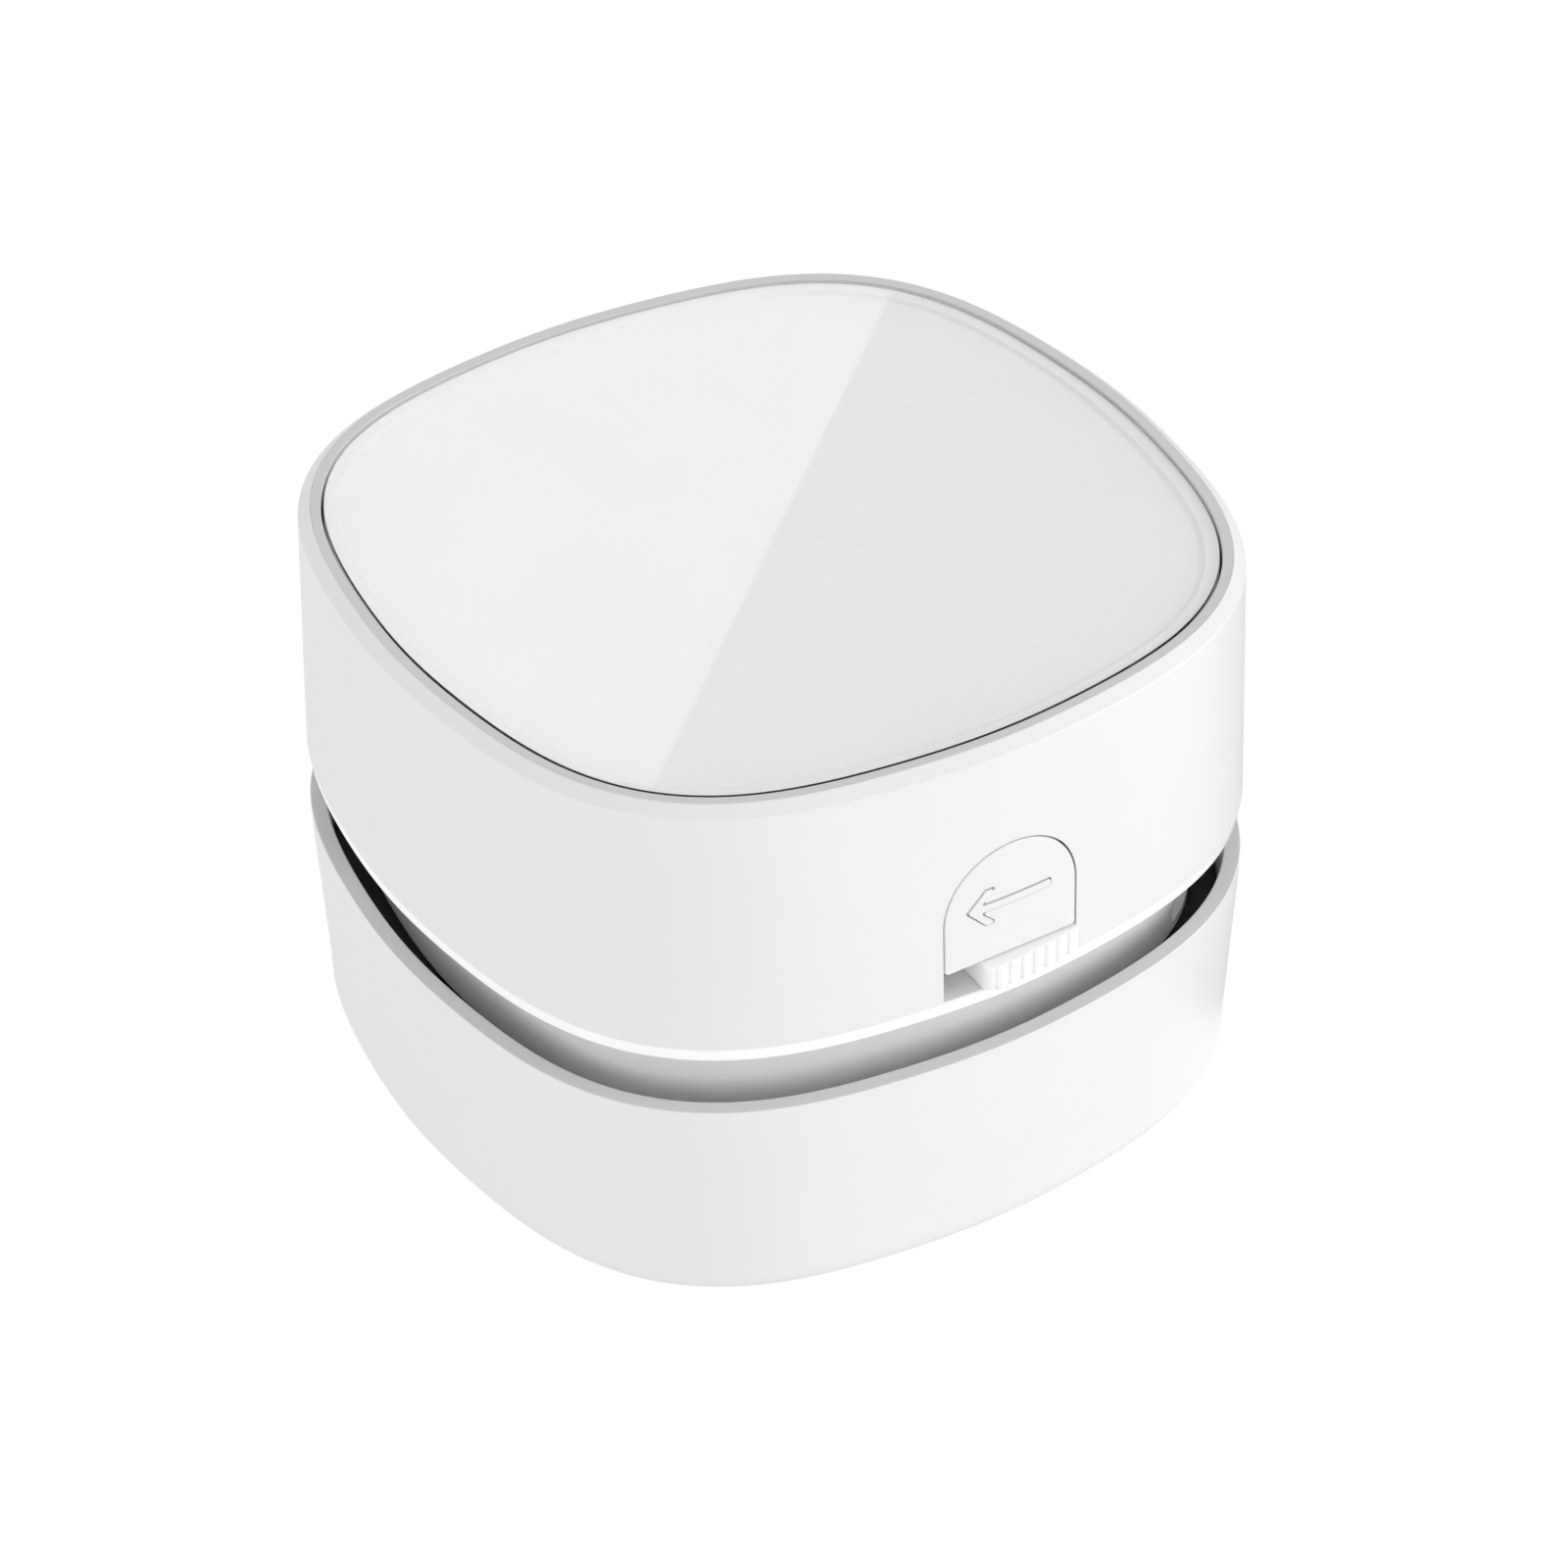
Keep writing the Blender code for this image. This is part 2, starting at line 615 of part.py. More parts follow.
MATERIALS = {
    "white_shell": ("F4F4F4", 0.42, 0.0),
    "trim_grey": ("CFCFCF", 0.45, 0.0),
    "clear_panel": ("F6F6F6", 0.05, 0.0),
    "white_inner": ("EDEDEB", 0.5, 0.0),
    "neck_white": ("DADADA", 0.55, 0.0),
    "seal_rubber": ("1E1E1E", 0.85, 0.0),
    "foot_rubber": ("4A4A4A", 0.9, 0.0),
    "dark_plastic": ("2E2F31", 0.55, 0.0),
    "filter_paper": ("E9E6DC", 0.95, 0.0),
    "bristle_nylon": ("D8D8D8", 0.6, 0.0),
    "steel": ("B9BCC0", 0.35, 1.0),
    "spring_steel": ("9EA1A5", 0.3, 1.0),
    "motor_steel": ("C6C8CA", 0.32, 1.0),
    "bronze": ("B08D57", 0.4, 1.0),
    "magnet": ("3B3B3D", 0.6, 0.0),
    "core_steel": ("7E8184", 0.5, 1.0),
    "cell_wrap": ("4E78A8", 0.45, 0.0),
    "nickel": ("C9C6BE", 0.35, 1.0),
    "board_green": ("2F6B45", 0.5, 0.0),
    "chip_black": ("232325", 0.5, 0.0),
    "lead_black": ("1B1B1C", 0.6, 0.0),
    "lead_red": ("A8322C", 0.6, 0.0),
}


def shader(name):
    """A plain principled material of the table above."""
    if name in bpy.data.materials:
        return bpy.data.materials[name]
    colour, rough, metal = MATERIALS[name]
    linear = []
    for k in range(3):
        part = int(colour[2 * k:2 * k + 2], 16) / 255
        linear.append(part / 12.92 if part <= 0.04045 else ((part + 0.055) / 1.055) ** 2.4)
    made = bpy.data.materials.new(name)
    made.use_nodes = True
    node = made.node_tree.nodes["Principled BSDF"]
    node.inputs["Base Color"].default_value = (*linear, 1.0)
    node.inputs["Roughness"].default_value = rough
    node.inputs["Metallic"].default_value = metal
    return made


AXES = {}


def body_axis(name, place, parent=None):
    """An empty on a body's joint axis; a row of AXES keeps it with its place in the world."""
    axis = bpy.data.objects.new(name + "_axis", None)
    bpy.context.scene.collection.objects.link(axis)
    place = np.array(place)
    held = np.zeros(3)
    if parent:
        axis.parent, held = AXES[parent]
    axis.location = place - held
    AXES[name] = (axis, place)


def keep(item, name, body, finish):
    """Names a finished piece, gives it its material and hangs it on its body's axis."""
    axis, place = AXES[body]
    shift = -place
    made = bmesh.new()
    made.from_mesh(item.data)
    bmesh.ops.triangulate(made, faces=made.faces)
    bmesh.ops.translate(made, verts=made.verts, vec=shift)
    made.to_mesh(item.data)
    made.free()
    item.data.shade_smooth()
    item.data.set_sharp_from_angle(angle=math.radians(35.0))
    item.data.materials.clear()
    item.data.materials.append(shader(finish))
    item.name = name
    item.data.name = name
    item.parent = axis
    return item


def hinge_place():
    """The flap's hinge line, behind the duct."""
    return (0.0, DUCT_BORE_RADIUS + DUCT_WALL + HINGE_SETBACK, Z_HINGE)


def slider_centre():
    """Middle of the ribbed lip along X, where the latch leg hangs too."""
    return (LIP_START + LIP_END) / 2


def leg_face():
    """The latch leg's outer face in Y."""
    return -(flat_half_width(DECK_OUTER) - LEG_INSET)


def carriage_face():
    """The carriage's inner face in Y, just clear of the deck."""
    return -(flat_half_width(DECK_OUTER) + FIT_GAP)


def tooth_low():
    """Underside of the latch tooth, below the bin's keeper."""
    return Z_SEAL_LOW - FIT_GAP - FIT_GAP - KEEPER_THICK - FIT_GAP - TOOTH_THICK


def make_dust_bin():
    """Lower shell: swelling wall, flat rim, boss and recess in its base, rest ribs and latch keeper."""
    arc = np.linspace(0.0, math.pi / 2, BIN_FOOT_STEPS + 1)
    foot_x = BIN_OFFSET_LOW - BIN_FOOT_RADIUS
    foot = [(foot_x + BIN_FOOT_RADIUS * math.sin(a), Z_BIN + BIN_FOOT_RADIUS * (1 - math.cos(a)))
            for a in arc]
    mid = Z_BIN + BIN_MID_SHARE * BIN_HEIGHT
    high = Z_BIN + BIN_HIGH_SHARE * BIN_HEIGHT
    floor = Z_BIN + BIN_FLOOR
    rings = [circle_ring(BASE_RECESS_RADIUS, Z_WEB, OUTLINE_POINTS),
             circle_ring(BASE_RECESS_RADIUS, Z_BIN, OUTLINE_POINTS)]
    rings += [outline_ring(x, z) for x, z in foot]
    rings += [outline_ring(BIN_OFFSET_MID, mid), outline_ring(BIN_OFFSET_HIGH, high),
              outline_ring(BIN_OFFSET_HIGH, Z_RIM - BIN_RIM_BEVEL),
              outline_ring(BIN_OFFSET_HIGH - BIN_RIM_BEVEL, Z_RIM),
              outline_ring(BIN_OFFSET_HIGH - BIN_WALL, Z_RIM),
              outline_ring(BIN_OFFSET_HIGH - BIN_WALL, high), outline_ring(BIN_OFFSET_MID - BIN_WALL, mid),
              outline_ring(BIN_OFFSET_LOW - BIN_WALL, floor + BIN_FLOOR_FILLET),
              outline_ring(BIN_OFFSET_LOW - BIN_WALL - BIN_FLOOR_FILLET, floor),
              circle_ring(BASE_RECESS_RADIUS + BASE_BOSS_WALL, floor, OUTLINE_POINTS),
              circle_ring(BASE_RECESS_RADIUS + BASE_BOSS_WALL, Z_BOSS, OUTLINE_POINTS)]
    shell = from_rings(rings)
    ribs = []
    for degrees in BIN_RIB_ANGLES:
        wall = np.hypot(*plan_points(BIN_OFFSET_LOW - BIN_WALL, np.radians([degrees]))[0])
        rib = block((wall - BIN_RIB_REACH, -BIN_RIB_THICK / 2, floor - OVERLAP),
                    (wall + BIN_WALL / 2, BIN_RIB_THICK / 2, Z_SEAL_LOW - FIT_GAP))
        ribs.append(turned(rib, degrees))
    keeper_top = Z_SEAL_LOW - FIT_GAP - FIT_GAP
    wall_y = -flat_half_width(bin_offset(keeper_top) - BIN_WALL / 2)
    keeper = block((slider_centre() - LEG_HALF, wall_y, keeper_top - KEEPER_THICK),
                   (slider_centre() + LEG_HALF, leg_face() - TOOTH_REACH - FIT_GAP, keeper_top))
    combine(shell, ribs + [keeper], "UNION")
    holes = [rod(DUCT_BORE_RADIUS + DUCT_WALL + FIT_GAP, Z_WEB - OVERRUN, Z_BOSS + OVERRUN,
                 count=ROUND_POINTS)]
    for degrees in FOOT_ANGLES:
        holes.append(rod(FOOT_RADIUS + FIT_GAP, Z_BIN - OVERRUN, Z_BIN + FOOT_SEAT_DEPTH,
                         polar(FOOT_CIRCLE, degrees), SMALL_POINTS))
    return combine(shell, holes, "DIFFERENCE")


def make_feet():
    """Four round rubber feet seated in the base."""
    seat = Z_BIN + FOOT_SEAT_DEPTH - FIT_GAP
    return [rod(FOOT_RADIUS, 0.0, seat, polar(FOOT_CIRCLE, angle)) for angle in FOOT_ANGLES]


def make_duct():
    """Suction duct with its flange on the base boss and two ears for the flap's pin."""
    outer = DUCT_BORE_RADIUS + DUCT_WALL
    seat = Z_BOSS + FIT_GAP
    levels = [(DUCT_BORE_RADIUS, Z_WEB - DUCT_DROP), (outer, Z_WEB - DUCT_DROP), (outer, seat),
              (DUCT_FLANGE_RADIUS, seat), (DUCT_FLANGE_RADIUS, seat + DUCT_FLANGE_THICK),
              (outer, seat + DUCT_FLANGE_THICK), (outer, Z_DUCT), (DUCT_BORE_RADIUS, Z_DUCT)]
    duct = from_rings([circle_ring(r, z) for r, z in levels], loop=True)
    y, z = hinge_place()[1:]
    ears = []
    for side in (-1, 1):
        near = side * (HINGE_HALF_WIDTH + FIT_GAP)
        far = near + side * EAR_THICK
        ears.append(block((min(near, far), y - EAR_DEPTH / 2, seat + DUCT_FLANGE_THICK - OVERLAP),
                          (max(near, far), y + EAR_DEPTH / 2, z + EAR_DEPTH / 2)))
    combine(duct, ears, "UNION")
    bore = circle_points((y, z), HINGE_PIN_RADIUS + FIT_GAP, SMALL_POINTS)
    reach = HINGE_HALF_WIDTH + EAR_THICK + OVERRUN
    return combine(duct, [prism(bore, "x", -reach, reach)], "DIFFERENCE")


def make_flap():
    """Round suction flap with an arm and a knuckle that turns on the pin."""
    y, z = hinge_place()[1:]
    low, high = z - FLAP_THICK / 2, z + FLAP_THICK / 2
    flap = rod(DUCT_BORE_RADIUS + DUCT_WALL + FLAP_LIP, low, high, count=ROUND_POINTS)
    arm = block((-FLAP_ARM_HALF, DUCT_BORE_RADIUS, low), (FLAP_ARM_HALF, y, high))
    ring = circle_points((y, z), HINGE_KNUCKLE_RADIUS, SMALL_POINTS)
    knuckle = prism(ring, "x", -HINGE_HALF_WIDTH, HINGE_HALF_WIDTH)
    combine(flap, [arm, knuckle], "UNION")
    bore = circle_points((y, z), HINGE_PIN_RADIUS + RUNNING_GAP, SMALL_POINTS)
    reach = HINGE_HALF_WIDTH + OVERRUN
    return combine(flap, [prism(bore, "x", -reach, reach)], "DIFFERENCE")


def make_flap_pin():
    """Steel pin of the flap, as long as the ears are apart outside."""
    reach = HINGE_HALF_WIDTH + FIT_GAP + EAR_THICK
    return prism(circle_points(hinge_place()[1:], HINGE_PIN_RADIUS, SMALL_POINTS), "x", -reach, reach)


def make_brush_base():
    """Flat ring under the base web, with a groove that holds the bristles."""
    high = Z_WEB - FIT_GAP
    low = high - BRUSH_THICK
    inner = DUCT_BORE_RADIUS + DUCT_WALL + FIT_GAP
    groove_outer = BRUSH_GROOVE_INNER + BRUSH_GROOVE_WIDTH
    levels = [(inner, high), (inner, low), (BRUSH_GROOVE_INNER, low),
              (BRUSH_GROOVE_INNER, low + BRUSH_GROOVE_DEPTH), (groove_outer, low + BRUSH_GROOVE_DEPTH),
              (groove_outer, low), (BASE_RECESS_RADIUS - FIT_GAP, low), (BASE_RECESS_RADIUS - FIT_GAP, high)]
    return from_rings([circle_ring(r, z) for r, z in levels], loop=True)


def make_bristles():
    """Bristle tufts hanging from a thin slice that sits in the brush base's groove."""
    groove_top = Z_WEB - FIT_GAP - BRUSH_THICK + BRUSH_GROOVE_DEPTH
    high = groove_top - FIT_GAP
    low = high - BRISTLE_SLICE_THICK
    ring = collar(BRUSH_GROOVE_INNER + FIT_GAP, BRUSH_GROOVE_INNER + BRUSH_GROOVE_WIDTH - FIT_GAP,
                  low, high, count=TUFT_COUNT)
    middle = BRUSH_GROOVE_INNER + BRUSH_GROOVE_WIDTH / 2
    tufts = []
    for k in range(TUFT_COUNT):
        foot = block((middle - TUFT_HALF, -TUFT_HALF, TUFT_CLEARANCE),
                     (middle + TUFT_HALF, TUFT_HALF, low + OVERLAP))
        tufts.append(turned(foot, 360.0 * (k + 0.5) / TUFT_COUNT))
    return combine(ring, [gather(tufts, "tufts")], "UNION")


def leg_slot(low, high):
    """Cutter for the latch leg's slot, as long as the slider's travel."""
    return block((slider_centre() - LEG_HALF - SLIDER_TRAVEL - FIT_GAP, leg_face() - FIT_GAP, low),
                 (slider_centre() + LEG_HALF + FIT_GAP, leg_face() + LEG_THICK + FIT_GAP, high))


def make_neck_frame():
    """Recessed tub: neck wall with two exhaust windows, flange, floor, filter pocket and screw posts."""
    flange_outer = inner_offset(Z_NECK_TOP) - FIT_GAP
    wall = FILTER_POCKET_RADIUS + FILTER_POCKET_WALL
    rings = [outline_ring(NECK_OUTER, Z_NECK), outline_ring(NECK_OUTER, Z_FLANGE),
             outline_ring(flange_outer, Z_FLANGE), outline_ring(flange_outer, Z_NECK_TOP),
             outline_ring(NECK_INNER, Z_NECK_TOP), outline_ring(NECK_INNER, Z_NECK_FLOOR),
             circle_ring(wall, Z_NECK_FLOOR, OUTLINE_POINTS), circle_ring(wall, Z_POCKET, OUTLINE_POINTS),
             circle_ring(FILTER_POCKET_RADIUS, Z_POCKET, OUTLINE_POINTS),
             circle_ring(FILTER_POCKET_RADIUS, Z_NECK, OUTLINE_POINTS)]
    frame = from_rings(rings, loop=True)
    socket = CHASSIS_HEAD + FIT_GAP
    posts = [rod(socket + POST_WALL, Z_NECK + OVERLAP, Z_NECK_TOP, polar(CHASSIS_CIRCLE, a))
             for a in CHASSIS_ANGLES]
    posts += [rod(FAN_BOSS_RADIUS, Z_NECK + OVERLAP, Z_POCKET, polar(FAN_SCREW_CIRCLE, a))
              for a in FAN_SCREW_ANGLES]
    combine(frame, posts, "UNION")
    cuts = [leg_slot(Z_NECK - OVERRUN, Z_NECK_FLOOR + OVERRUN)]
    for start, end in WINDOW_SPANS:
        angles = np.radians(np.linspace(start, end, WINDOW_STEPS + 1))
        out = plan_points(NECK_OUTER + OVERRUN, angles)
        back = plan_points(NECK_INNER - FIT_GAP, angles)[::-1]
        cuts.append(prism(np.concatenate([out, back]), "z", Z_NECK_FLOOR + WINDOW_SILL,
                          Z_HOUSING - WINDOW_HEAD))
    for angle in CHASSIS_ANGLES:
        centre = polar(CHASSIS_CIRCLE, angle)
        cuts.append(rod(socket, Z_NECK - OVERRUN, Z_NECK_TOP - CHASSIS_WEB, centre))
        cuts.append(rod(CHASSIS_SHANK + FIT_GAP, Z_NECK - OVERRUN, Z_NECK_TOP + OVERRUN, centre))
    for angle in FAN_SCREW_ANGLES:
        tip = fan_screw_top() - SMALL_SCREW_LENGTH
        cuts.append(rod(SMALL_SCREW_SHANK + FIT_GAP, tip - FIT_GAP, Z_POCKET + OVERRUN,
                        polar(FAN_SCREW_CIRCLE, angle)))
    return combine(frame, cuts, "DIFFERENCE")


def fan_screw_top():
    """Top of a fan cover screw's head."""
    return Z_COVER_TOP + FIT_GAP + SMALL_SCREW_HEAD_THICK


def make_seal():
    """Rubber ring under the neck that wipes the bin's inner wall."""
    outer = bin_offset(Z_SEAL_LOW) - BIN_WALL - SEAL_PLAY
    inner = outer - SEAL_WIDTH
    levels = [(outer, Z_SEAL_LOW), (outer, Z_SEAL), (inner, Z_SEAL), (inner, Z_SEAL_LOW)]
    return from_rings([outline_ring(x, z) for x, z in levels], loop=True)


def make_filter_frame():
    """Round frame that plugs into the neck from below, with a cross of bars and a pull tab."""
    outer = FILTER_POCKET_RADIUS - FIT_GAP
    inner = outer - FILTER_WALL
    flange = FILTER_POCKET_RADIUS + FILTER_FLANGE_WIDTH
    seat = Z_NECK - FIT_GAP
    top = Z_POCKET - FIT_GAP
    levels = [(inner, seat - FILTER_FLANGE_THICK), (flange, seat - FILTER_FLANGE_THICK), (flange, seat),
              (outer, seat), (outer, top), (inner, top)]
    frame = from_rings([circle_ring(r, z) for r, z in levels], loop=True)
    reach = inner + OVERLAP
    half = FILTER_BAR_WIDTH / 2
    along_x = block((-reach, -half, seat), (reach, half, seat + FILTER_BAR_THICK))
    along_y = block((-half, -reach, seat + OVERLAP / 2), (half, reach, seat + FILTER_BAR_THICK - OVERLAP / 2))
    tab = block((-inner - OVERLAP, -half * 2, seat - FILTER_TAB_DROP),
                (FILTER_TAB_LENGTH - inner, half * 2, seat + OVERLAP))
    return combine(frame, [along_x, along_y, tab], "UNION")


def make_filter_media():
    """Pleated paper disc inside the filter frame."""
    radius = FILTER_POCKET_RADIUS - FIT_GAP - FILTER_WALL - FIT_GAP
    low = Z_NECK - FIT_GAP + FILTER_BAR_THICK + FIT_GAP + PLEAT_SHEET / 2
    high = Z_POCKET - FIT_GAP - PLEAT_SHEET / 2
    folds = 2 * int(math.ceil((radius + FIT_GAP) / PLEAT_PITCH))
    x = (np.arange(2 * folds + 1) - folds) * PLEAT_PITCH / 2
    z = np.where(np.arange(2 * folds + 1) % 2 == 0, low, high)
    points = list(zip(x, z - PLEAT_SHEET / 2)) + list(zip(x[::-1], z[::-1] + PLEAT_SHEET / 2))
    reach = radius + OVERRUN
    sheet = prism(points, "y", -reach, reach)
    disc = rod(radius, Z_NECK, Z_POCKET, count=ROUND_POINTS)
    return combine(sheet, [disc], "INTERSECT")


def make_fan_cover():
    """Disc over the filter pocket with a raised inlet lip and two screw ears."""
    outer = FILTER_POCKET_RADIUS + FILTER_POCKET_WALL
    lip = FAN_INLET_RADIUS + FAN_LIP_WALL
    levels = [(FAN_INLET_RADIUS, Z_COVER), (outer, Z_COVER), (outer, Z_COVER_TOP), (lip, Z_COVER_TOP),
              (lip, Z_COVER_TOP + FAN_LIP_HEIGHT), (FAN_INLET_RADIUS, Z_COVER_TOP + FAN_LIP_HEIGHT)]
    cover = from_rings([circle_ring(r, z) for r, z in levels], loop=True)
    low, high = Z_COVER + OVERLAP / 4, Z_COVER_TOP - OVERLAP / 4
    ears, holes = [], []
    for angle in FAN_SCREW_ANGLES:
        arm = block((outer - FAN_BOSS_RADIUS, -FAN_BOSS_RADIUS, low),
                    (FAN_SCREW_CIRCLE, FAN_BOSS_RADIUS, high))
        ears.append(turned(arm, angle))
        centre = polar(FAN_SCREW_CIRCLE, angle)
        ears.append(rod(FAN_BOSS_RADIUS, low + OVERLAP / 4, high - OVERLAP / 4, centre))
        holes.append(rod(SMALL_SCREW_SHANK + FIT_GAP, low - OVERRUN, high + OVERRUN, centre))
    combine(cover, ears, "UNION")
    return combine(cover, holes, "DIFFERENCE")


def make_fan_screws():
    """Two small screws, heads up, through the fan cover's ears."""
    return [screw(SMALL_SCREW_SHANK, SMALL_SCREW_HEAD, SMALL_SCREW_HEAD_THICK, fan_screw_top(),
                  fan_screw_top() - SMALL_SCREW_LENGTH, polar(FAN_SCREW_CIRCLE, angle))
            for angle in FAN_SCREW_ANGLES]


def blade_low():
    """Lower edge of the impeller's blades."""
    return Z_COVER_TOP + BLADE_GAP


def make_impeller():
    """Open impeller: disc and hub with swept blades below the disc."""
    top = Z_DECK - IMPELLER_HEAD_GAP
    disc = top - IMPELLER_DISC
    levels = [(IMPELLER_HUB_RADIUS, blade_low()), (IMPELLER_HUB_RADIUS, disc), (IMPELLER_RADIUS, disc),
              (IMPELLER_RADIUS, top)]
    wheel = from_rings([circle_ring(r, z) for r, z in levels])
    share = np.linspace(0.0, 1.0, BLADE_STEPS + 1)
    inner = IMPELLER_RADIUS * BLADE_INNER_SHARE
    radius = inner + share * (IMPELLER_RADIUS - BLADE_THICK / 2 - inner)
    blades = []
    for k in range(BLADE_COUNT):
        angle = 2 * math.pi * k / BLADE_COUNT + BLADE_SWEEP * share
        half = BLADE_THICK / 2 / radius
        ahead = np.column_stack([radius * np.cos(angle + half), radius * np.sin(angle + half)])
        behind = np.column_stack([radius * np.cos(angle - half), radius * np.sin(angle - half)])[::-1]
        blades.append(prism(np.concatenate([ahead, behind]), "z", blade_low(), disc + OVERLAP))
    combine(wheel, [gather(blades, "blades")], "UNION")
    return combine(wheel, [rod(SHAFT_RADIUS + FIT_GAP, blade_low() - OVERRUN, top + OVERRUN)], "DIFFERENCE")


def make_shaft():
    """Motor shaft from the impeller's hub to the end cap's bush."""
    return rod(SHAFT_RADIUS, blade_low() - SHAFT_TAIL, Z_END_CAP_TOP + SHAFT_TAIL)


def saddle_places():
    """The two saddles' places along the cell."""
    return [side * SADDLE_PLACE_SHARE * CELL_LENGTH / 2 for side in (-1, 1)]


def board_corners():
    """Places of the board's four posts."""
    x = BOARD_HALF_WIDTH - BOARD_SCREW_INSET
    front, back = BOARD_FRONT + BOARD_SCREW_INSET, BOARD_BACK - BOARD_SCREW_INSET
    return [(-x, front), (-x, back), (x, front), (x, back)]


def screwed_corners():
    """The two opposite corners where the board is screwed down."""
    return [board_corners()[0], board_corners()[3]]


def make_deck():
    """Motor deck: ceiling of the fan chamber, with motor collar, cell saddles and board posts."""
    deck = from_rings([outline_ring(DECK_OUTER, Z_DECK), outline_ring(DECK_OUTER, Z_DECK_TOP)])
    sunk = Z_DECK_TOP - OVERLAP
    adds = [collar(COLLAR_RADIUS - COLLAR_WALL, COLLAR_RADIUS, sunk, Z_DECK_TOP + COLLAR_HEIGHT)]
    for y in saddle_places():
        saddle = block((CELL_X - CELL_RADIUS, y - SADDLE_THICK / 2, sunk),
                       (CELL_X + CELL_RADIUS, y + SADDLE_THICK / 2, Z_DECK_TOP + SADDLE_HEIGHT))
        seat = prism(circle_points((CELL_X, Z_CELL), CELL_RADIUS + FIT_GAP, ROUND_POINTS), "y",
                     y - SADDLE_THICK, y + SADDLE_THICK)
        adds.append(combine(saddle, [seat], "DIFFERENCE"))
    adds += [rod(BOARD_POST_RADIUS, sunk, Z_BOARD - FIT_GAP, centre) for centre in board_corners()]
    combine(deck, adds, "UNION")
    cuts = [rod(BUSH_RADIUS + BUSH_PROUD, Z_DECK - OVERRUN, Z_DECK_TOP + OVERRUN, count=ROUND_POINTS),
            leg_slot(Z_DECK - OVERRUN, Z_DECK_TOP + OVERRUN)]
    for angle in CHASSIS_ANGLES:
        cuts.append(rod(CHASSIS_SHANK + FIT_GAP, Z_DECK - OVERRUN, Z_DECK_TOP + OVERRUN,
                        polar(CHASSIS_CIRCLE, angle)))
    for angle in MOTOR_SCREW_ANGLES:
        centre = polar(MOTOR_SCREW_CIRCLE, angle)
        cuts.append(rod(SMALL_SCREW_HEAD + FIT_GAP, Z_DECK - OVERRUN,
                        Z_DECK + SMALL_SCREW_HEAD_THICK + FIT_GAP, centre))
        cuts.append(rod(SMALL_SCREW_SHANK + FIT_GAP, Z_DECK - OVERRUN, Z_DECK_TOP + OVERRUN, centre))
    tip = board_screw_top() - BOARD_SCREW_LENGTH
    cuts += [rod(SMALL_SCREW_SHANK + FIT_GAP, tip - FIT_GAP, Z_BOARD + OVERRUN, centre)
             for centre in screwed_corners()]
    return combine(deck, cuts, "DIFFERENCE")


def make_motor_can():
    """Steel motor can, a cup with a bush hole and two screw holes in its base."""
    hole = BUSH_RADIUS + FIT_GAP
    bore = MOTOR_RADIUS - MOTOR_WALL
    levels = [(hole, Z_MOTOR), (MOTOR_RADIUS, Z_MOTOR), (MOTOR_RADIUS, Z_MOTOR_TOP), (bore, Z_MOTOR_TOP),
              (bore, Z_MOTOR + MOTOR_BASE), (hole, Z_MOTOR + MOTOR_BASE)]
    can = from_rings([circle_ring(r, z) for r, z in levels], loop=True)
    holes = [rod(SMALL_SCREW_SHANK + FIT_GAP, Z_MOTOR - OVERRUN, Z_MOTOR + MOTOR_BASE + OVERRUN,
                 polar(MOTOR_SCREW_CIRCLE, angle)) for angle in MOTOR_SCREW_ANGLES]
    return combine(can, holes, "DIFFERENCE")


def end_cap_plug():
    """Underside of the end cap's plug inside the can."""
    return Z_END_CAP - END_CAP_PLUG


def terminal_places():
    """Places of the two motor terminals on the end cap."""
    at = MOTOR_RADIUS * TERMINAL_PLACE_SHARE
    return [(-at, at), (at, at)]


def make_end_cap():
    """Moulded end cap with its plug and two terminal blades."""
    hole = BUSH_RADIUS + FIT_GAP
    plug = MOTOR_RADIUS - MOTOR_WALL - FIT_GAP
    levels = [(hole, end_cap_plug()), (plug, end_cap_plug()), (plug, Z_END_CAP), (MOTOR_RADIUS, Z_END_CAP),
              (MOTOR_RADIUS, Z_END_CAP_TOP), (hole, Z_END_CAP_TOP)]
    cap = from_rings([circle_ring(r, z) for r, z in levels], loop=True)
    blades = [block((x - TERMINAL_HALF, y - TERMINAL_THICK / 2, Z_END_CAP_TOP - OVERLAP),
                    (x + TERMINAL_HALF, y + TERMINAL_THICK / 2, Z_END_CAP_TOP + TERMINAL_HEIGHT))
              for x, y in terminal_places()]
    return combine(cap, blades, "UNION")


def make_bushings():
    """Two bronze bushings that carry the shaft, in the can's base and in the end cap."""
    bore = SHAFT_RADIUS + RUNNING_GAP
    base = collar(bore, BUSH_RADIUS, Z_MOTOR - BUSH_PROUD, Z_MOTOR + MOTOR_BASE, count=SMALL_POINTS)
    cap = collar(bore, BUSH_RADIUS, end_cap_plug(), Z_END_CAP_TOP, count=SMALL_POINTS)
    return [base, cap]


def stack_levels():
    """Lower and upper ends of the armature's iron stack, inside the can."""
    low, high = Z_MOTOR + MOTOR_BASE, end_cap_plug()
    margin = STACK_MARGIN_SHARE * (high - low)
    return low + margin, high - margin


def magnet_radius():
    """Inner radius of the magnets."""
    return MOTOR_RADIUS - MOTOR_WALL - FIT_GAP - MAGNET_THICK


def make_magnets():
    """Two curved magnets against the can's wall."""
    low, high = Z_MOTOR + MOTOR_BASE + FIT_GAP, end_cap_plug() - FIT_GAP
    return [prism(sector(magnet_radius(), magnet_radius() + MAGNET_THICK, MAGNET_HALF_ANGLE, middle,
                         MAGNET_STEPS), "z", low, high) for middle in (0.0, 180.0)]


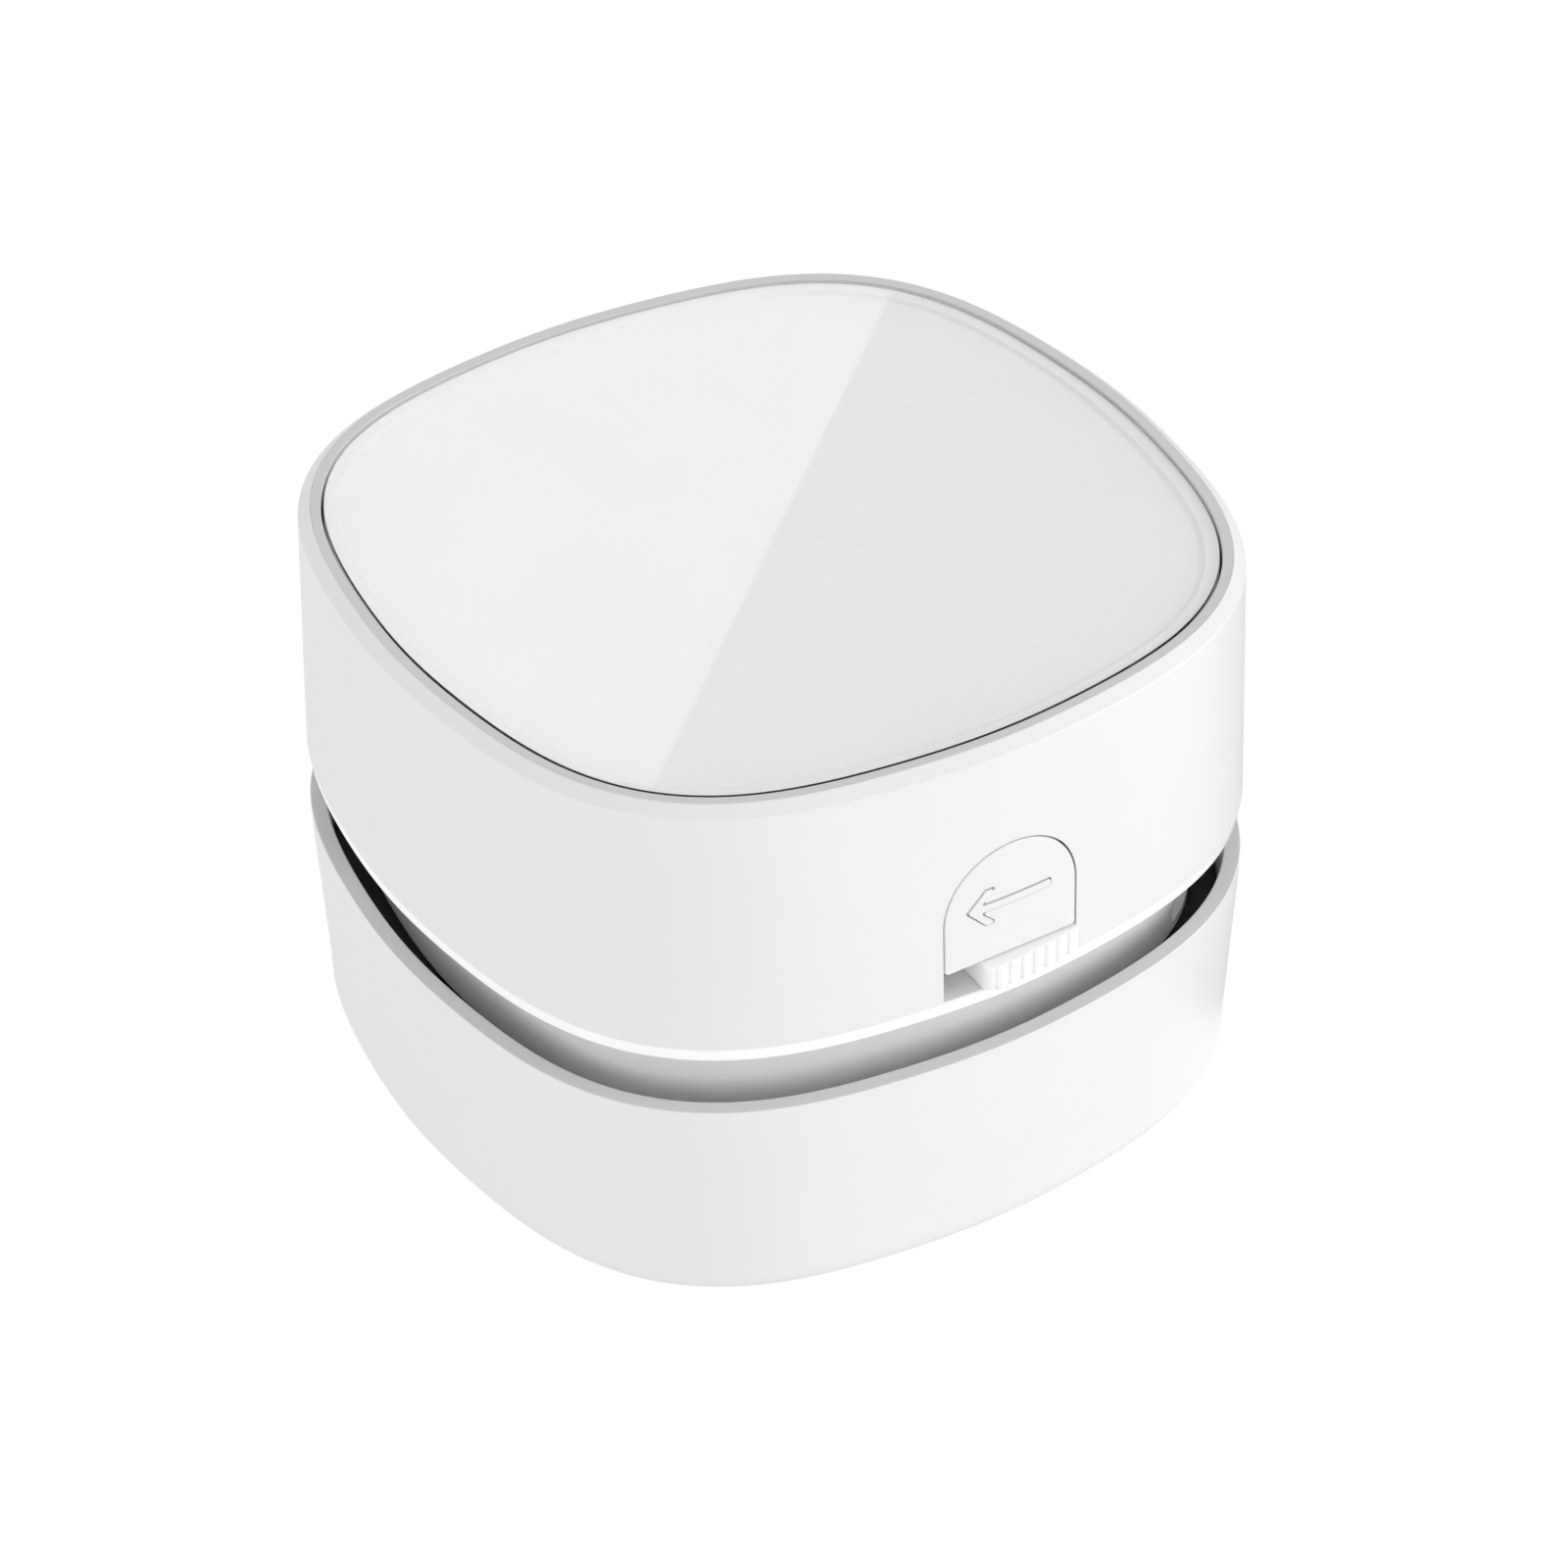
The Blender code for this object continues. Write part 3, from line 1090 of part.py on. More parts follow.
def make_armature():
    """Three-pole iron stack on the shaft, each pole's stem wound with a squared coil."""
    low, high = stack_levels()
    outer = magnet_radius() - ARMATURE_GAP
    core = rod(ARMATURE_CORE_RADIUS, low, high)
    poles = []
    for k in range(POLE_COUNT):
        middle = 360.0 * k / POLE_COUNT
        stem = block((ARMATURE_CORE_RADIUS - POLE_STEM_HALF, -POLE_STEM_HALF, low),
                     (outer - POLE_SHOE / 2, POLE_STEM_HALF, high))
        poles.append(turned(stem, middle))
        poles.append(prism(sector(outer - POLE_SHOE, outer, POLE_HALF_ANGLE, middle, POLE_STEPS), "z",
                           low, high))
        coil = block((ARMATURE_CORE_RADIUS + FIT_GAP, -POLE_STEM_HALF - COIL_THICK, low - COIL_THICK / 2),
                     (outer - POLE_SHOE - FIT_GAP, POLE_STEM_HALF + COIL_THICK, high + COIL_THICK / 2))
        poles.append(turned(coil, middle))
    combine(core, poles, "UNION")
    return combine(core, [rod(SHAFT_RADIUS + FIT_GAP, low - OVERRUN, high + OVERRUN)], "DIFFERENCE")


def make_damper():
    """Rubber sleeve between the motor can and the deck's collar."""
    inner = MOTOR_RADIUS + FIT_GAP
    return collar(inner, inner + DAMPER_WALL, Z_MOTOR, Z_DECK_TOP + COLLAR_HEIGHT)


def make_motor_screws():
    """Two screws up through the deck into the motor can."""
    head = Z_DECK + FIT_GAP / 2
    return [screw(SMALL_SCREW_SHANK, SMALL_SCREW_HEAD, SMALL_SCREW_HEAD_THICK, head,
                  Z_MOTOR + MOTOR_BASE, polar(MOTOR_SCREW_CIRCLE, angle)) for angle in MOTOR_SCREW_ANGLES]


def chassis_tip():
    """Upper end of the chassis screws, inside the housing's bosses."""
    return Z_DECK_TOP + FIT_GAP + CHASSIS_BITE


def make_chassis_screws():
    """Four long screws that hold neck, deck and housing together from below."""
    head = Z_NECK_TOP - CHASSIS_WEB - FIT_GAP - CHASSIS_HEAD_THICK
    return [screw(CHASSIS_SHANK, CHASSIS_HEAD, CHASSIS_HEAD_THICK, head, chassis_tip(),
                  polar(CHASSIS_CIRCLE, angle)) for angle in CHASSIS_ANGLES]


def cell_ends():
    """The cell's two end faces along Y, the second with its nub."""
    return -CELL_LENGTH / 2, CELL_LENGTH / 2


def make_cell():
    """Round rechargeable cell beside the motor, with its positive nub at the rear."""
    back, front = cell_ends()
    cell = prism(circle_points((CELL_X, Z_CELL), CELL_RADIUS, ROUND_POINTS), "y", back,
                 front - CELL_NUB_HEIGHT)
    nub = prism(circle_points((CELL_X, Z_CELL), CELL_NUB_RADIUS, SMALL_POINTS), "y",
                front - CELL_NUB_HEIGHT - OVERLAP, front)
    return combine(cell, [nub], "UNION")


def lead_start():
    """Place along X where the leads leave the tabs, clear of the housing's bosses."""
    return CHASSIS_CIRCLE * math.sqrt(0.5) - BOSS_RADIUS - FIT_GAP - LEAD_RADIUS


def make_tabs():
    """Nickel tabs at the cell's ends, each as wide as from its lead past the cell's middle."""
    back, front = cell_ends()
    near, far = lead_start() - LEAD_RADIUS, CELL_X + TAB_HALF
    low, high = Z_CELL - TAB_HALF, Z_CELL + TAB_HALF
    return [block((near, back - FIT_GAP - TAB_THICK, low), (far, back - FIT_GAP, high)),
            block((near, front + FIT_GAP, low), (far, front + FIT_GAP + TAB_THICK, high))]


def make_board():
    """Charging and control board on four posts."""
    board = block((-BOARD_HALF_WIDTH, BOARD_FRONT, Z_BOARD), (BOARD_HALF_WIDTH, BOARD_BACK, Z_BOARD_TOP))
    holes = [rod(SMALL_SCREW_SHANK + FIT_GAP, Z_BOARD - OVERRUN, Z_BOARD_TOP + OVERRUN, centre)
             for centre in screwed_corners()]
    return combine(board, holes, "DIFFERENCE")


def board_screw_top():
    """Top of a board screw's head."""
    return Z_BOARD_TOP + FIT_GAP + SMALL_SCREW_HEAD_THICK


def make_board_screws():
    """Two small screws at opposite corners of the board."""
    return [screw(SMALL_SCREW_SHANK, SMALL_SCREW_HEAD, SMALL_SCREW_HEAD_THICK, board_screw_top(),
                  board_screw_top() - BOARD_SCREW_LENGTH, centre) for centre in screwed_corners()]


def make_chip():
    """Charge controller chip on the board."""
    x = CHIP_SHARES[0] * BOARD_HALF_WIDTH
    y = BOARD_FRONT + CHIP_SHARES[1] * (BOARD_BACK - BOARD_FRONT)
    return block((x - CHIP_HALF_LONG, y - CHIP_HALF_SHORT, Z_SOCKET),
                 (x + CHIP_HALF_LONG, y + CHIP_HALF_SHORT, Z_SOCKET + CHIP_HEIGHT))


def socket_mouth():
    """The charging socket's mouth in Y, set back from the rear wall's face."""
    return flat_half_width(wall_offset(Z_SOCKET)) - SOCKET_RECESS


def make_usb_socket():
    """Charging socket: a steel shell with round ends and a tongue inside."""
    middle = Z_SOCKET + SOCKET_HEIGHT / 2
    mouth = socket_mouth()
    back = mouth - SOCKET_LENGTH
    shell = prism(stadium(SOCKET_HALF_WIDTH, SOCKET_HEIGHT, middle), "y", back, mouth)
    bore = prism(stadium(SOCKET_HALF_WIDTH - SOCKET_SKIN, SOCKET_HEIGHT - 2 * SOCKET_SKIN, middle), "y",
                 mouth - SOCKET_DEPTH, mouth + OVERRUN)
    combine(shell, [bore], "DIFFERENCE")
    tongue = block((-TONGUE_HALF_WIDTH, mouth - SOCKET_DEPTH - OVERLAP, middle - TONGUE_THICK / 2),
                   (TONGUE_HALF_WIDTH, mouth - SOCKET_DEPTH + TONGUE_LENGTH, middle + TONGUE_THICK / 2))
    return combine(shell, [tongue], "UNION")


def make_power_switch():
    """Push switch body on the board, with a bore for its plunger."""
    body = block((-SWITCH_HALF, SWITCH_Y - SWITCH_HALF, Z_SOCKET),
                 (SWITCH_HALF, SWITCH_Y + SWITCH_HALF, Z_SOCKET + SWITCH_HEIGHT))
    bore = rod(PLUNGER_RADIUS + FIT_GAP, Z_SOCKET + SWITCH_FLOOR, Z_SOCKET + SWITCH_HEIGHT + OVERRUN,
               (0.0, SWITCH_Y))
    return combine(body, [bore], "DIFFERENCE")


def make_plunger():
    """Switch plunger under the tray, clear of its bore's floor by the press travel."""
    return rod(PLUNGER_RADIUS, Z_SOCKET + SWITCH_FLOOR + PRESS_TRAVEL + FIT_GAP, Z_TRAY - FIT_GAP,
               (0.0, SWITCH_Y))


def make_motor_leads():
    """Two leads from the motor's terminals down to the board's front edge."""
    items = []
    for x, y in terminal_places():
        start = y + TERMINAL_THICK / 2 + FIT_GAP + LEAD_RADIUS
        top = Z_END_CAP_TOP + FIT_GAP + LEAD_RADIUS
        end = BOARD_FRONT + LEAD_RISE
        points = [(x, start, top), (x, MOTOR_RADIUS, top + LEAD_RISE / 2),
                  (x, BOARD_FRONT - LEAD_RISE, top - LEAD_RISE / 2),
                  (x, end, Z_BOARD_TOP + FIT_GAP + LEAD_RADIUS)]
        items.append(smooth_tube(points, LEAD_RADIUS, "lead"))
    return items


def make_battery_leads():
    """Two leads from the cell's tabs to the board, the longer one between cell and motor."""
    back, front = cell_ends()
    gap = FIT_GAP + TAB_THICK + FIT_GAP + LEAD_RADIUS
    start_x = lead_start()
    end_z = Z_BOARD_TOP + FIT_GAP + LEAD_RADIUS
    edge = BOARD_HALF_WIDTH - LEAD_RADIUS * 2
    between = (MOTOR_RADIUS + CELL_X - CELL_RADIUS) / 2 + LEAD_RADIUS
    high = Z_MOTOR_TOP
    short = [(start_x, front + gap, Z_CELL), (start_x - LEAD_RISE, front + gap + LEAD_RADIUS, end_z),
             (edge + LEAD_RISE, BOARD_FRONT + 4 * LEAD_RISE, end_z + LEAD_RADIUS),
             (edge, BOARD_FRONT + 4 * LEAD_RISE, end_z)]
    bend = BOARD_FRONT - LEAD_RISE
    long = [(start_x, back - gap, Z_CELL), (start_x - LEAD_RISE, back - gap, high - LEAD_RISE),
            (between, back - gap, high), (between, 0.0, high), (between, bend, high),
            (edge, BOARD_FRONT + LEAD_RISE, end_z)]
    return [smooth_tube(short, LEAD_RADIUS, "lead"), smooth_tube(long, LEAD_RADIUS, "lead")]


def arch_outline(half, foot):
    """Flat outline of the latch's arch in X and Z, from its foot up to a half circle."""
    points = [(-half, foot), (half, foot)]
    for angle in np.linspace(0.0, math.pi, ARCH_STEPS + 1):
        points.append((half * math.cos(angle), Z_ARCH_SPRING + half * math.sin(angle)))
    return points


def wall_band(outer, inner, low, high):
    """A band of the housing's wall; outer and inner give its plan offset at a height."""
    levels = [(outer(low), low), (outer(high), high), (inner(high), high), (inner(low), low)]
    return from_rings([outline_ring(x, z) for x, z in levels], loop=True)


def front_y(x, offset):
    """Y of a front wall's outline at a place along X."""
    angles = np.radians(np.linspace(225.0, 315.0, 91))
    points = plan_points(offset, angles)
    return float(np.interp(x, points[:, 0], points[:, 1]))


def make_housing():
    """Upper shell: drafted wall, rounded top edge, rebate, well floor, bosses and latch guides."""
    rebate = FIT_GAP - TRIM_OUTER_PLAY
    shelf = Z_TRIM - FIT_GAP
    crown = Z_TOP - TOP_FILLET
    wide = wall_offset(crown) - rebate
    profile = [(wall_offset(Z_HOUSING) - HOUSING_EDGE_BEVEL, Z_HOUSING),
               (wall_offset(Z_HOUSING + HOUSING_EDGE_HEIGHT), Z_HOUSING + HOUSING_EDGE_HEIGHT)]
    profile += [(rebate + wide * math.cos(a), crown + TOP_FILLET * math.sin(a))
                for a in np.linspace(0.0, math.pi / 2, TOP_FILLET_STEPS + 1)]
    edge = inner_offset(Z_WELL) - WELL_FLOOR_WIDTH
    profile += [(rebate, shelf), (inner_offset(shelf), shelf), (inner_offset(Z_WELL), Z_WELL), (edge, Z_WELL),
                (edge, Z_WELL_LOW), (inner_offset(Z_WELL_LOW), Z_WELL_LOW),
                (inner_offset(Z_HOUSING), Z_HOUSING)]
    shell = from_rings([outline_ring(x, z) for x, z in profile], loop=True)
    adds = [rod(BOSS_RADIUS, Z_DECK_TOP + FIT_GAP, Z_WELL_LOW + OVERLAP, polar(CHASSIS_CIRCLE, angle))
            for angle in CHASSIS_ANGLES]
    rib_low = Z_CARRIAGE_TOP + FIT_GAP
    near = ARCH_HALF_WIDTH + SEAM_GAP + ARCH_FLANGE_REACH + FIT_GAP
    for side in (-1, 1):
        far = near + GUIDE_RIB_LENGTH
        wall = front_y(far, inner_offset(rib_low) + HOUSING_WALL / 2)
        adds.append(block((min(side * near, side * far), wall, rib_low),
                          (max(side * near, side * far), carriage_face(), rib_low + GUIDE_RIB_THICK)))
    post = spring_ends()[0] - FIT_GAP
    wall = front_y(post, inner_offset(Z_CARRIAGE) + HOUSING_WALL / 2)
    adds.append(block((post - SPRING_POST_THICK, wall, Z_CARRIAGE), (post, carriage_face(), Z_CARRIAGE_TOP)))
    combine(shell, adds, "UNION")
    front = -flat_half_width(HOUSING_FLARE) - OVERRUN
    back = -flat_half_width(inner_offset(Z_SLOT_TOP)) + HOUSING_WALL
    cuts = [prism(arch_outline(ARCH_HALF_WIDTH, Z_SLOT), "y", front, back)]
    middle = Z_SOCKET + SOCKET_HEIGHT / 2
    cuts.append(prism(stadium(SOCKET_HALF_WIDTH + FIT_GAP, SOCKET_HEIGHT + 2 * FIT_GAP, middle), "y",
                      flat_half_width(inner_offset(Z_SOCKET)) - OVERRUN, -front))
    cuts += [rod(CHASSIS_SHANK + FIT_GAP, Z_DECK_TOP, chassis_tip() + FIT_GAP, polar(CHASSIS_CIRCLE, angle))
             for angle in CHASSIS_ANGLES]
    cuts.append(rod(PLUNGER_RADIUS + FIT_GAP, Z_WELL_LOW - OVERRUN, Z_WELL + OVERRUN, (0.0, SWITCH_Y)))
    for angle in range(0, 360, 90):
        centre = polar(guide_circle(), angle)
        cuts.append(rod(SPRING_POCKET_RADIUS, Z_WELL_LOW + SPRING_POCKET_FLOOR, Z_WELL + OVERRUN, centre))
        cuts.append(rod(GUIDE_POST_RADIUS + FIT_GAP, Z_WELL_LOW - OVERRUN, Z_WELL + OVERRUN, centre))
    return combine(shell, cuts, "DIFFERENCE")


def make_trim_ring():
    """Light grey ring round the clear panel, seated in the housing's rebate."""
    levels = [(-TRIM_OUTER_PLAY, Z_TRIM), (-TRIM_OUTER_PLAY, Z_TOP), (TRIM_INNER, Z_TOP),
              (TRIM_INNER, Z_TRIM)]
    return from_rings([outline_ring(x, z) for x, z in levels], loop=True)


def make_cover_plate():
    """Arched plate that closes the latch opening, flush with the curved wall, with a flange behind it."""
    top = Z_ARCH_SPRING + ARCH_HALF_WIDTH + ARCH_FLANGE_REACH
    low, high = Z_SLOT - OVERRUN, top + OVERRUN
    front = -flat_half_width(HOUSING_FLARE) - OVERRUN

    def seat(height):
        return inner_offset(height) - FIT_GAP

    def rear(height):
        return seat(height) - ARCH_FLANGE_THICK

    def middle(height):
        return seat(height) - ARCH_FLANGE_THICK / 2

    plate = wall_band(wall_offset, middle, low, high)
    arch = arch_outline(ARCH_HALF_WIDTH - SEAM_GAP, Z_SLOT_TOP)
    combine(plate, [prism(arch, "y", front, 0.0)], "INTERSECT")
    flange = wall_band(seat, rear, low, high)
    outline = arch_outline(ARCH_HALF_WIDTH + ARCH_FLANGE_REACH, Z_CARRIAGE_TOP + FIT_GAP)
    combine(flange, [prism(outline, "y", front, 0.0)], "INTERSECT")
    return combine(plate, [flange], "UNION")


def make_slider():
    """Release slider: ribbed lip, stem, carriage behind the wall, and a leg with the latch tooth."""
    middle = slider_centre()
    back = carriage_face()
    face = back - CARRIAGE_THICK
    lip_front = -flat_half_width(wall_offset(Z_SLOT)) - LIP_PROUD
    lip_low = Z_SLOT + LIP_RISE
    lip_high = lip_low + LIP_HEIGHT
    body = block((middle - CARRIAGE_HALF, face, Z_CARRIAGE), (middle + CARRIAGE_HALF, back, Z_CARRIAGE_TOP))
    stem = block((LIP_START + STEM_MARGIN, lip_front + LIP_THICK / 2, Z_SLOT + FIT_GAP),
                 (LIP_END - STEM_MARGIN, face + OVERLAP, Z_SLOT_TOP - FIT_GAP))
    lip = block((LIP_START, lip_front, lip_low), (LIP_END, lip_front + LIP_THICK, lip_high))
    leg = leg_face()
    low = tooth_low()
    arm = Z_CARRIAGE_TOP - ARM_THICK
    hook = [(leg - TOOTH_REACH, low), (leg + LEG_THICK, low), (leg + LEG_THICK, Z_CARRIAGE_TOP - OVERLAP),
            (back - OVERLAP, Z_CARRIAGE_TOP - OVERLAP), (back - OVERLAP, arm), (leg, arm),
            (leg, low + TOOTH_THICK), (leg - TOOTH_REACH, low + TOOTH_THICK)]
    combine(body, [stem, lip, prism(hook, "x", middle - LEG_HALF, middle + LEG_HALF)], "UNION")
    first, last = LIP_START + LIP_GROOVE_EDGE, LIP_END - LIP_GROOVE_EDGE
    grooves = [block((x - LIP_GROOVE_WIDTH / 2, lip_front - OVERRUN, lip_low - OVERRUN),
                     (x + LIP_GROOVE_WIDTH / 2, lip_front + LIP_GROOVE_DEPTH, lip_high - LIP_GROOVE_TOP))
               for x in np.linspace(first, last, LIP_GROOVES)]
    return combine(body, grooves, "DIFFERENCE")


def spring_ends():
    """The latch spring's left and right ends along X."""
    right = slider_centre() - CARRIAGE_HALF - FIT_GAP
    return right - LATCH_SPRING_LENGTH, right


def make_latch_spring():
    """Small coil spring between the housing's post and the slider's carriage."""
    left, right = spring_ends()
    coil = helix(LATCH_SPRING_RADIUS, LATCH_SPRING_WIRE, LATCH_SPRING_TURNS, SPRING_TURN_POINTS, left, right)
    turned(coil, 90.0, "Y")
    return shifted(coil, (0.0, carriage_face() - LATCH_SPRING_SET, (Z_CARRIAGE + Z_CARRIAGE_TOP) / 2))


def make_panel():
    """Clear glossy panel flush with the trim ring."""
    levels = [(PANEL_OUTER, Z_PANEL), (PANEL_OUTER, Z_PANEL_TOP - PANEL_BEVEL),
              (PANEL_OUTER - PANEL_BEVEL, Z_PANEL_TOP)]
    return from_rings([outline_ring(x, z) for x, z in levels])


def make_tray():
    """White tray under the panel: rim, sunken floor, flange under the trim ring and four guide posts."""
    outer = inner_offset(Z_TRIM) - FIT_GAP
    inner = PANEL_OUTER - TRAY_RIM_WIDTH
    flange = Z_TRAY + TRAY_FLANGE_THICK
    levels = [(outer, Z_TRAY), (outer, flange), (PANEL_OUTER, flange), (PANEL_OUTER, Z_TRAY_RIM),
              (inner, Z_TRAY_RIM), (inner, Z_TRAY_FLOOR)]
    tray = from_rings([outline_ring(x, z) for x, z in levels])
    posts = [rod(GUIDE_POST_RADIUS, Z_TRAY - GUIDE_REACH, Z_TRAY + OVERLAP, polar(guide_circle(), angle))
             for angle in range(0, 360, 90)]
    return combine(tray, posts, "UNION")


def make_plate_springs():
    """Four return springs round the guide posts, in pockets of the well floor."""
    low = Z_WELL_LOW + SPRING_POCKET_FLOOR + FIT_GAP
    items = []
    for angle in range(0, 360, 90):
        coil = helix(SPRING_RADIUS, SPRING_WIRE, SPRING_TURNS, SPRING_TURN_POINTS, low, Z_TRAY - FIT_GAP)
        x, y = polar(guide_circle(), angle)
        items.append(shifted(coil, (x, y, 0.0)))
    return items


PIECES = (
    ("dust_bin", make_dust_bin, "bin", "white_shell"),
    ("bin_foot", make_feet, "bin", "foot_rubber"),
    ("suction_duct", make_duct, "bin", "white_inner"),
    ("flap_pin", make_flap_pin, "bin", "steel"),
    ("brush_base", make_brush_base, "bin", "white_inner"),
    ("brush_bristles", make_bristles, "bin", "bristle_nylon"),
    ("suction_flap", make_flap, "flap", "dark_plastic"),
    ("upper_housing", make_housing, "unit", "white_shell"),
    ("trim_ring", make_trim_ring, "unit", "trim_grey"),
    ("latch_cover_plate", make_cover_plate, "unit", "white_shell"),
    ("latch_spring", make_latch_spring, "unit", "spring_steel"),
    ("neck_frame", make_neck_frame, "unit", "neck_white"),
    ("bin_seal", make_seal, "unit", "seal_rubber"),
    ("filter_frame", make_filter_frame, "unit", "white_inner"),
    ("filter_media", make_filter_media, "unit", "filter_paper"),
    ("fan_cover", make_fan_cover, "unit", "dark_plastic"),
    ("fan_cover_screw", make_fan_screws, "unit", "steel"),
    ("motor_deck", make_deck, "unit", "dark_plastic"),
    ("motor_can", make_motor_can, "unit", "motor_steel"),
    ("motor_end_cap", make_end_cap, "unit", "white_inner"),
    ("motor_magnet", make_magnets, "unit", "magnet"),
    ("shaft_bushing", make_bushings, "unit", "bronze"),
    ("motor_damper", make_damper, "unit", "seal_rubber"),
    ("motor_screw", make_motor_screws, "unit", "steel"),
    ("chassis_screw", make_chassis_screws, "unit", "steel"),
    ("battery_cell", make_cell, "unit", "cell_wrap"),
    ("battery_tab", make_tabs, "unit", "nickel"),
    ("battery_lead", make_battery_leads, "unit", "lead_red"),
    ("motor_lead", make_motor_leads, "unit", "lead_black"),
    ("circuit_board", make_board, "unit", "board_green"),
    ("controller_chip", make_chip, "unit", "chip_black"),
    ("board_screw", make_board_screws, "unit", "steel"),
    ("usb_socket", make_usb_socket, "unit", "nickel"),
    ("power_switch", make_power_switch, "unit", "chip_black"),
    ("plate_spring", make_plate_springs, "unit", "spring_steel"),
    ("impeller", make_impeller, "rotor", "dark_plastic"),
    ("motor_shaft", make_shaft, "rotor", "steel"),
    ("armature", make_armature, "rotor", "core_steel"),
    ("clear_panel", make_panel, "plate", "clear_panel"),
    ("panel_tray", make_tray, "plate", "white_shell"),
    ("switch_plunger", make_plunger, "plate", "dark_plastic"),
    ("release_slider", make_slider, "slider", "white_shell"),
)


def main():
    """Clears the scene and builds every piece on its body's axis."""
    for item in list(bpy.data.objects):
        bpy.data.objects.remove(item)
    body_axis("bin", (0.0, 0.0, 0.0))
    body_axis("flap", hinge_place(), "bin")
    body_axis("unit", (0.0, 0.0, Z_NECK), "bin")
    body_axis("rotor", (0.0, 0.0, Z_DECK), "unit")
    body_axis("plate", (0.0, 0.0, Z_TRAY), "unit")
    body_axis("slider", (slider_centre(), carriage_face(), Z_CARRIAGE), "unit")
    for name, make, body, finish in PIECES:
        made = make()
        copies = made if isinstance(made, list) else [made]
        for count, item in enumerate(copies, 1):
            keep(item, name if len(copies) == 1 else f"{name}_{count}", body, finish)


main()
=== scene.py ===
"""Looks of a desktop mini vacuum cleaner: white moulded shells, a clear panel on a white tray, an arched
latch plate with a ribbed lip under it, the recessed neck with its exhaust windows, and the suction inlet
with its brush ring. Sizes are in millimetres here and turned to metres where a mesh is made."""

import json
import math

import bmesh
import bpy
import numpy as np
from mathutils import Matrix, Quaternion, Vector


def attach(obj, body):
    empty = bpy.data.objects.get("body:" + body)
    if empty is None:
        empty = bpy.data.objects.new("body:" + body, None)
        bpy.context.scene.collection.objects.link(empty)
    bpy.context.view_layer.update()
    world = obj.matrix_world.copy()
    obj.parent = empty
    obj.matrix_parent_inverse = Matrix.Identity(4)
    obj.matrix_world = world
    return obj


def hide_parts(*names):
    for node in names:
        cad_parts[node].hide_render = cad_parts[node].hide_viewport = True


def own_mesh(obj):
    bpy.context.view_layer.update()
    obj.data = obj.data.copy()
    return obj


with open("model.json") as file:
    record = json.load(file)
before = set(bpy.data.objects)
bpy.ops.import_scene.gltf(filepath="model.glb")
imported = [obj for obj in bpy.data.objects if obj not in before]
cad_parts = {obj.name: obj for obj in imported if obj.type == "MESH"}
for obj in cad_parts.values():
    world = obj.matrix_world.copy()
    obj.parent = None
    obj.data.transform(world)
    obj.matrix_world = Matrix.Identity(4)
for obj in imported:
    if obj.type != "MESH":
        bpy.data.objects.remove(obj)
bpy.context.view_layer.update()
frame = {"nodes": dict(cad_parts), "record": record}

MM = 0.001
NODES = frame["nodes"]

# Plan outline of every shell: a rounded square, and how finely it is drawn.
PLAN_RADIUS = 42.0
PLAN_SHARES = {4: -0.0477, 8: 0.0055, 12: 0.0004}
FINE = 360

# Heights of the shells: the bin's underside and rim, the housing's foot, where its wall starts and ends,
# where its crown turns in, and its top.
BIN_LOW, BIN_RIM = 1.0, 24.8
HOUSING_LOW, WALL_LOW, WALL_HIGH, CROWN, TOP = 30.8, 32.3, 56.6, 58.0, 59.0
DRAFT = math.tan(math.radians(2.0))
FLARE = 2.2

# The latch: height from which its arch is round, front of the slot's sill, and the carriage's rear face.
ARCH_SPRING = 40.82
SILL_FRONT, CARRIAGE_BACK = -41.6, -37.04

# Circles that repeated parts stand on, and the angles of the four corners and the four sides.
FOOT_CIRCLE, SCREW_CIRCLE, SPRING_CIRCLE, FAN_CIRCLE = 33.234, 36.018, 34.915, 30.54
CORNERS = (45.0, 135.0, 225.0, 315.0)
SIDES = (0.0, 90.0, 180.0, 270.0)

# Where the camera stands, what it aims at and how far it is rolled, from a fit to the photograph's outlines,
# its sensor and lens, the panel's top, and the two ends of the line between the panel's two tones.
EYE, AIM, ROLL = np.array([-199.45, -327.77, 325.0]), np.array([-6.95, -13.76, 39.20]), -0.631
SENSOR, FOCAL_LENGTH = 36.0, 113.1
PANEL_TOP = 58.9
SPLIT_NEAR, SPLIT_FAR = (-30.5, -29.9), (32.7, 28.4)


# Outlines and profiles.

def outline(offset, angles):
    """Rounded-square outline: radius a(1 + sum of c cos(n angle)), moved outward along its own normal
    by the offset. Returns one row of x, y for each angle."""
    radius = PLAN_RADIUS * (1 + sum(c * np.cos(n * angles) for n, c in PLAN_SHARES.items()))
    slope = PLAN_RADIUS * sum(-c * n * np.sin(n * angles) for n, c in PLAN_SHARES.items())
    along = np.stack([np.cos(angles), np.sin(angles)], -1)
    across = np.stack([-np.sin(angles), np.cos(angles)], -1)
    tangent = slope[..., None] * along + radius[..., None] * across
    normal = np.stack([tangent[..., 1], -tangent[..., 0]], -1)
    normal /= np.linalg.norm(normal, axis=-1, keepdims=True)
    return radius[..., None] * along + np.asarray(offset)[..., None] * normal


def wall_offset(z):
    """Plan offset of the housing's outer wall: it leans in by two degrees as it rises."""
    return FLARE - DRAFT * (z - HOUSING_LOW)


def front_y(x, z, inset=0.0):
    """Y of the housing's front wall at x and z: the outline's front quarter read at two offsets and
    blended in proportion to the wanted offset."""
    angles = np.radians(np.linspace(225.0, 315.0, 721))
    low, high = outline(-6.0, angles), outline(3.0, angles)
    share = (wall_offset(z) - inset + 6.0) / 9.0
    return (1 - share) * np.interp(x, low[:, 0], low[:, 1]) + share * np.interp(x, high[:, 0], high[:, 1])


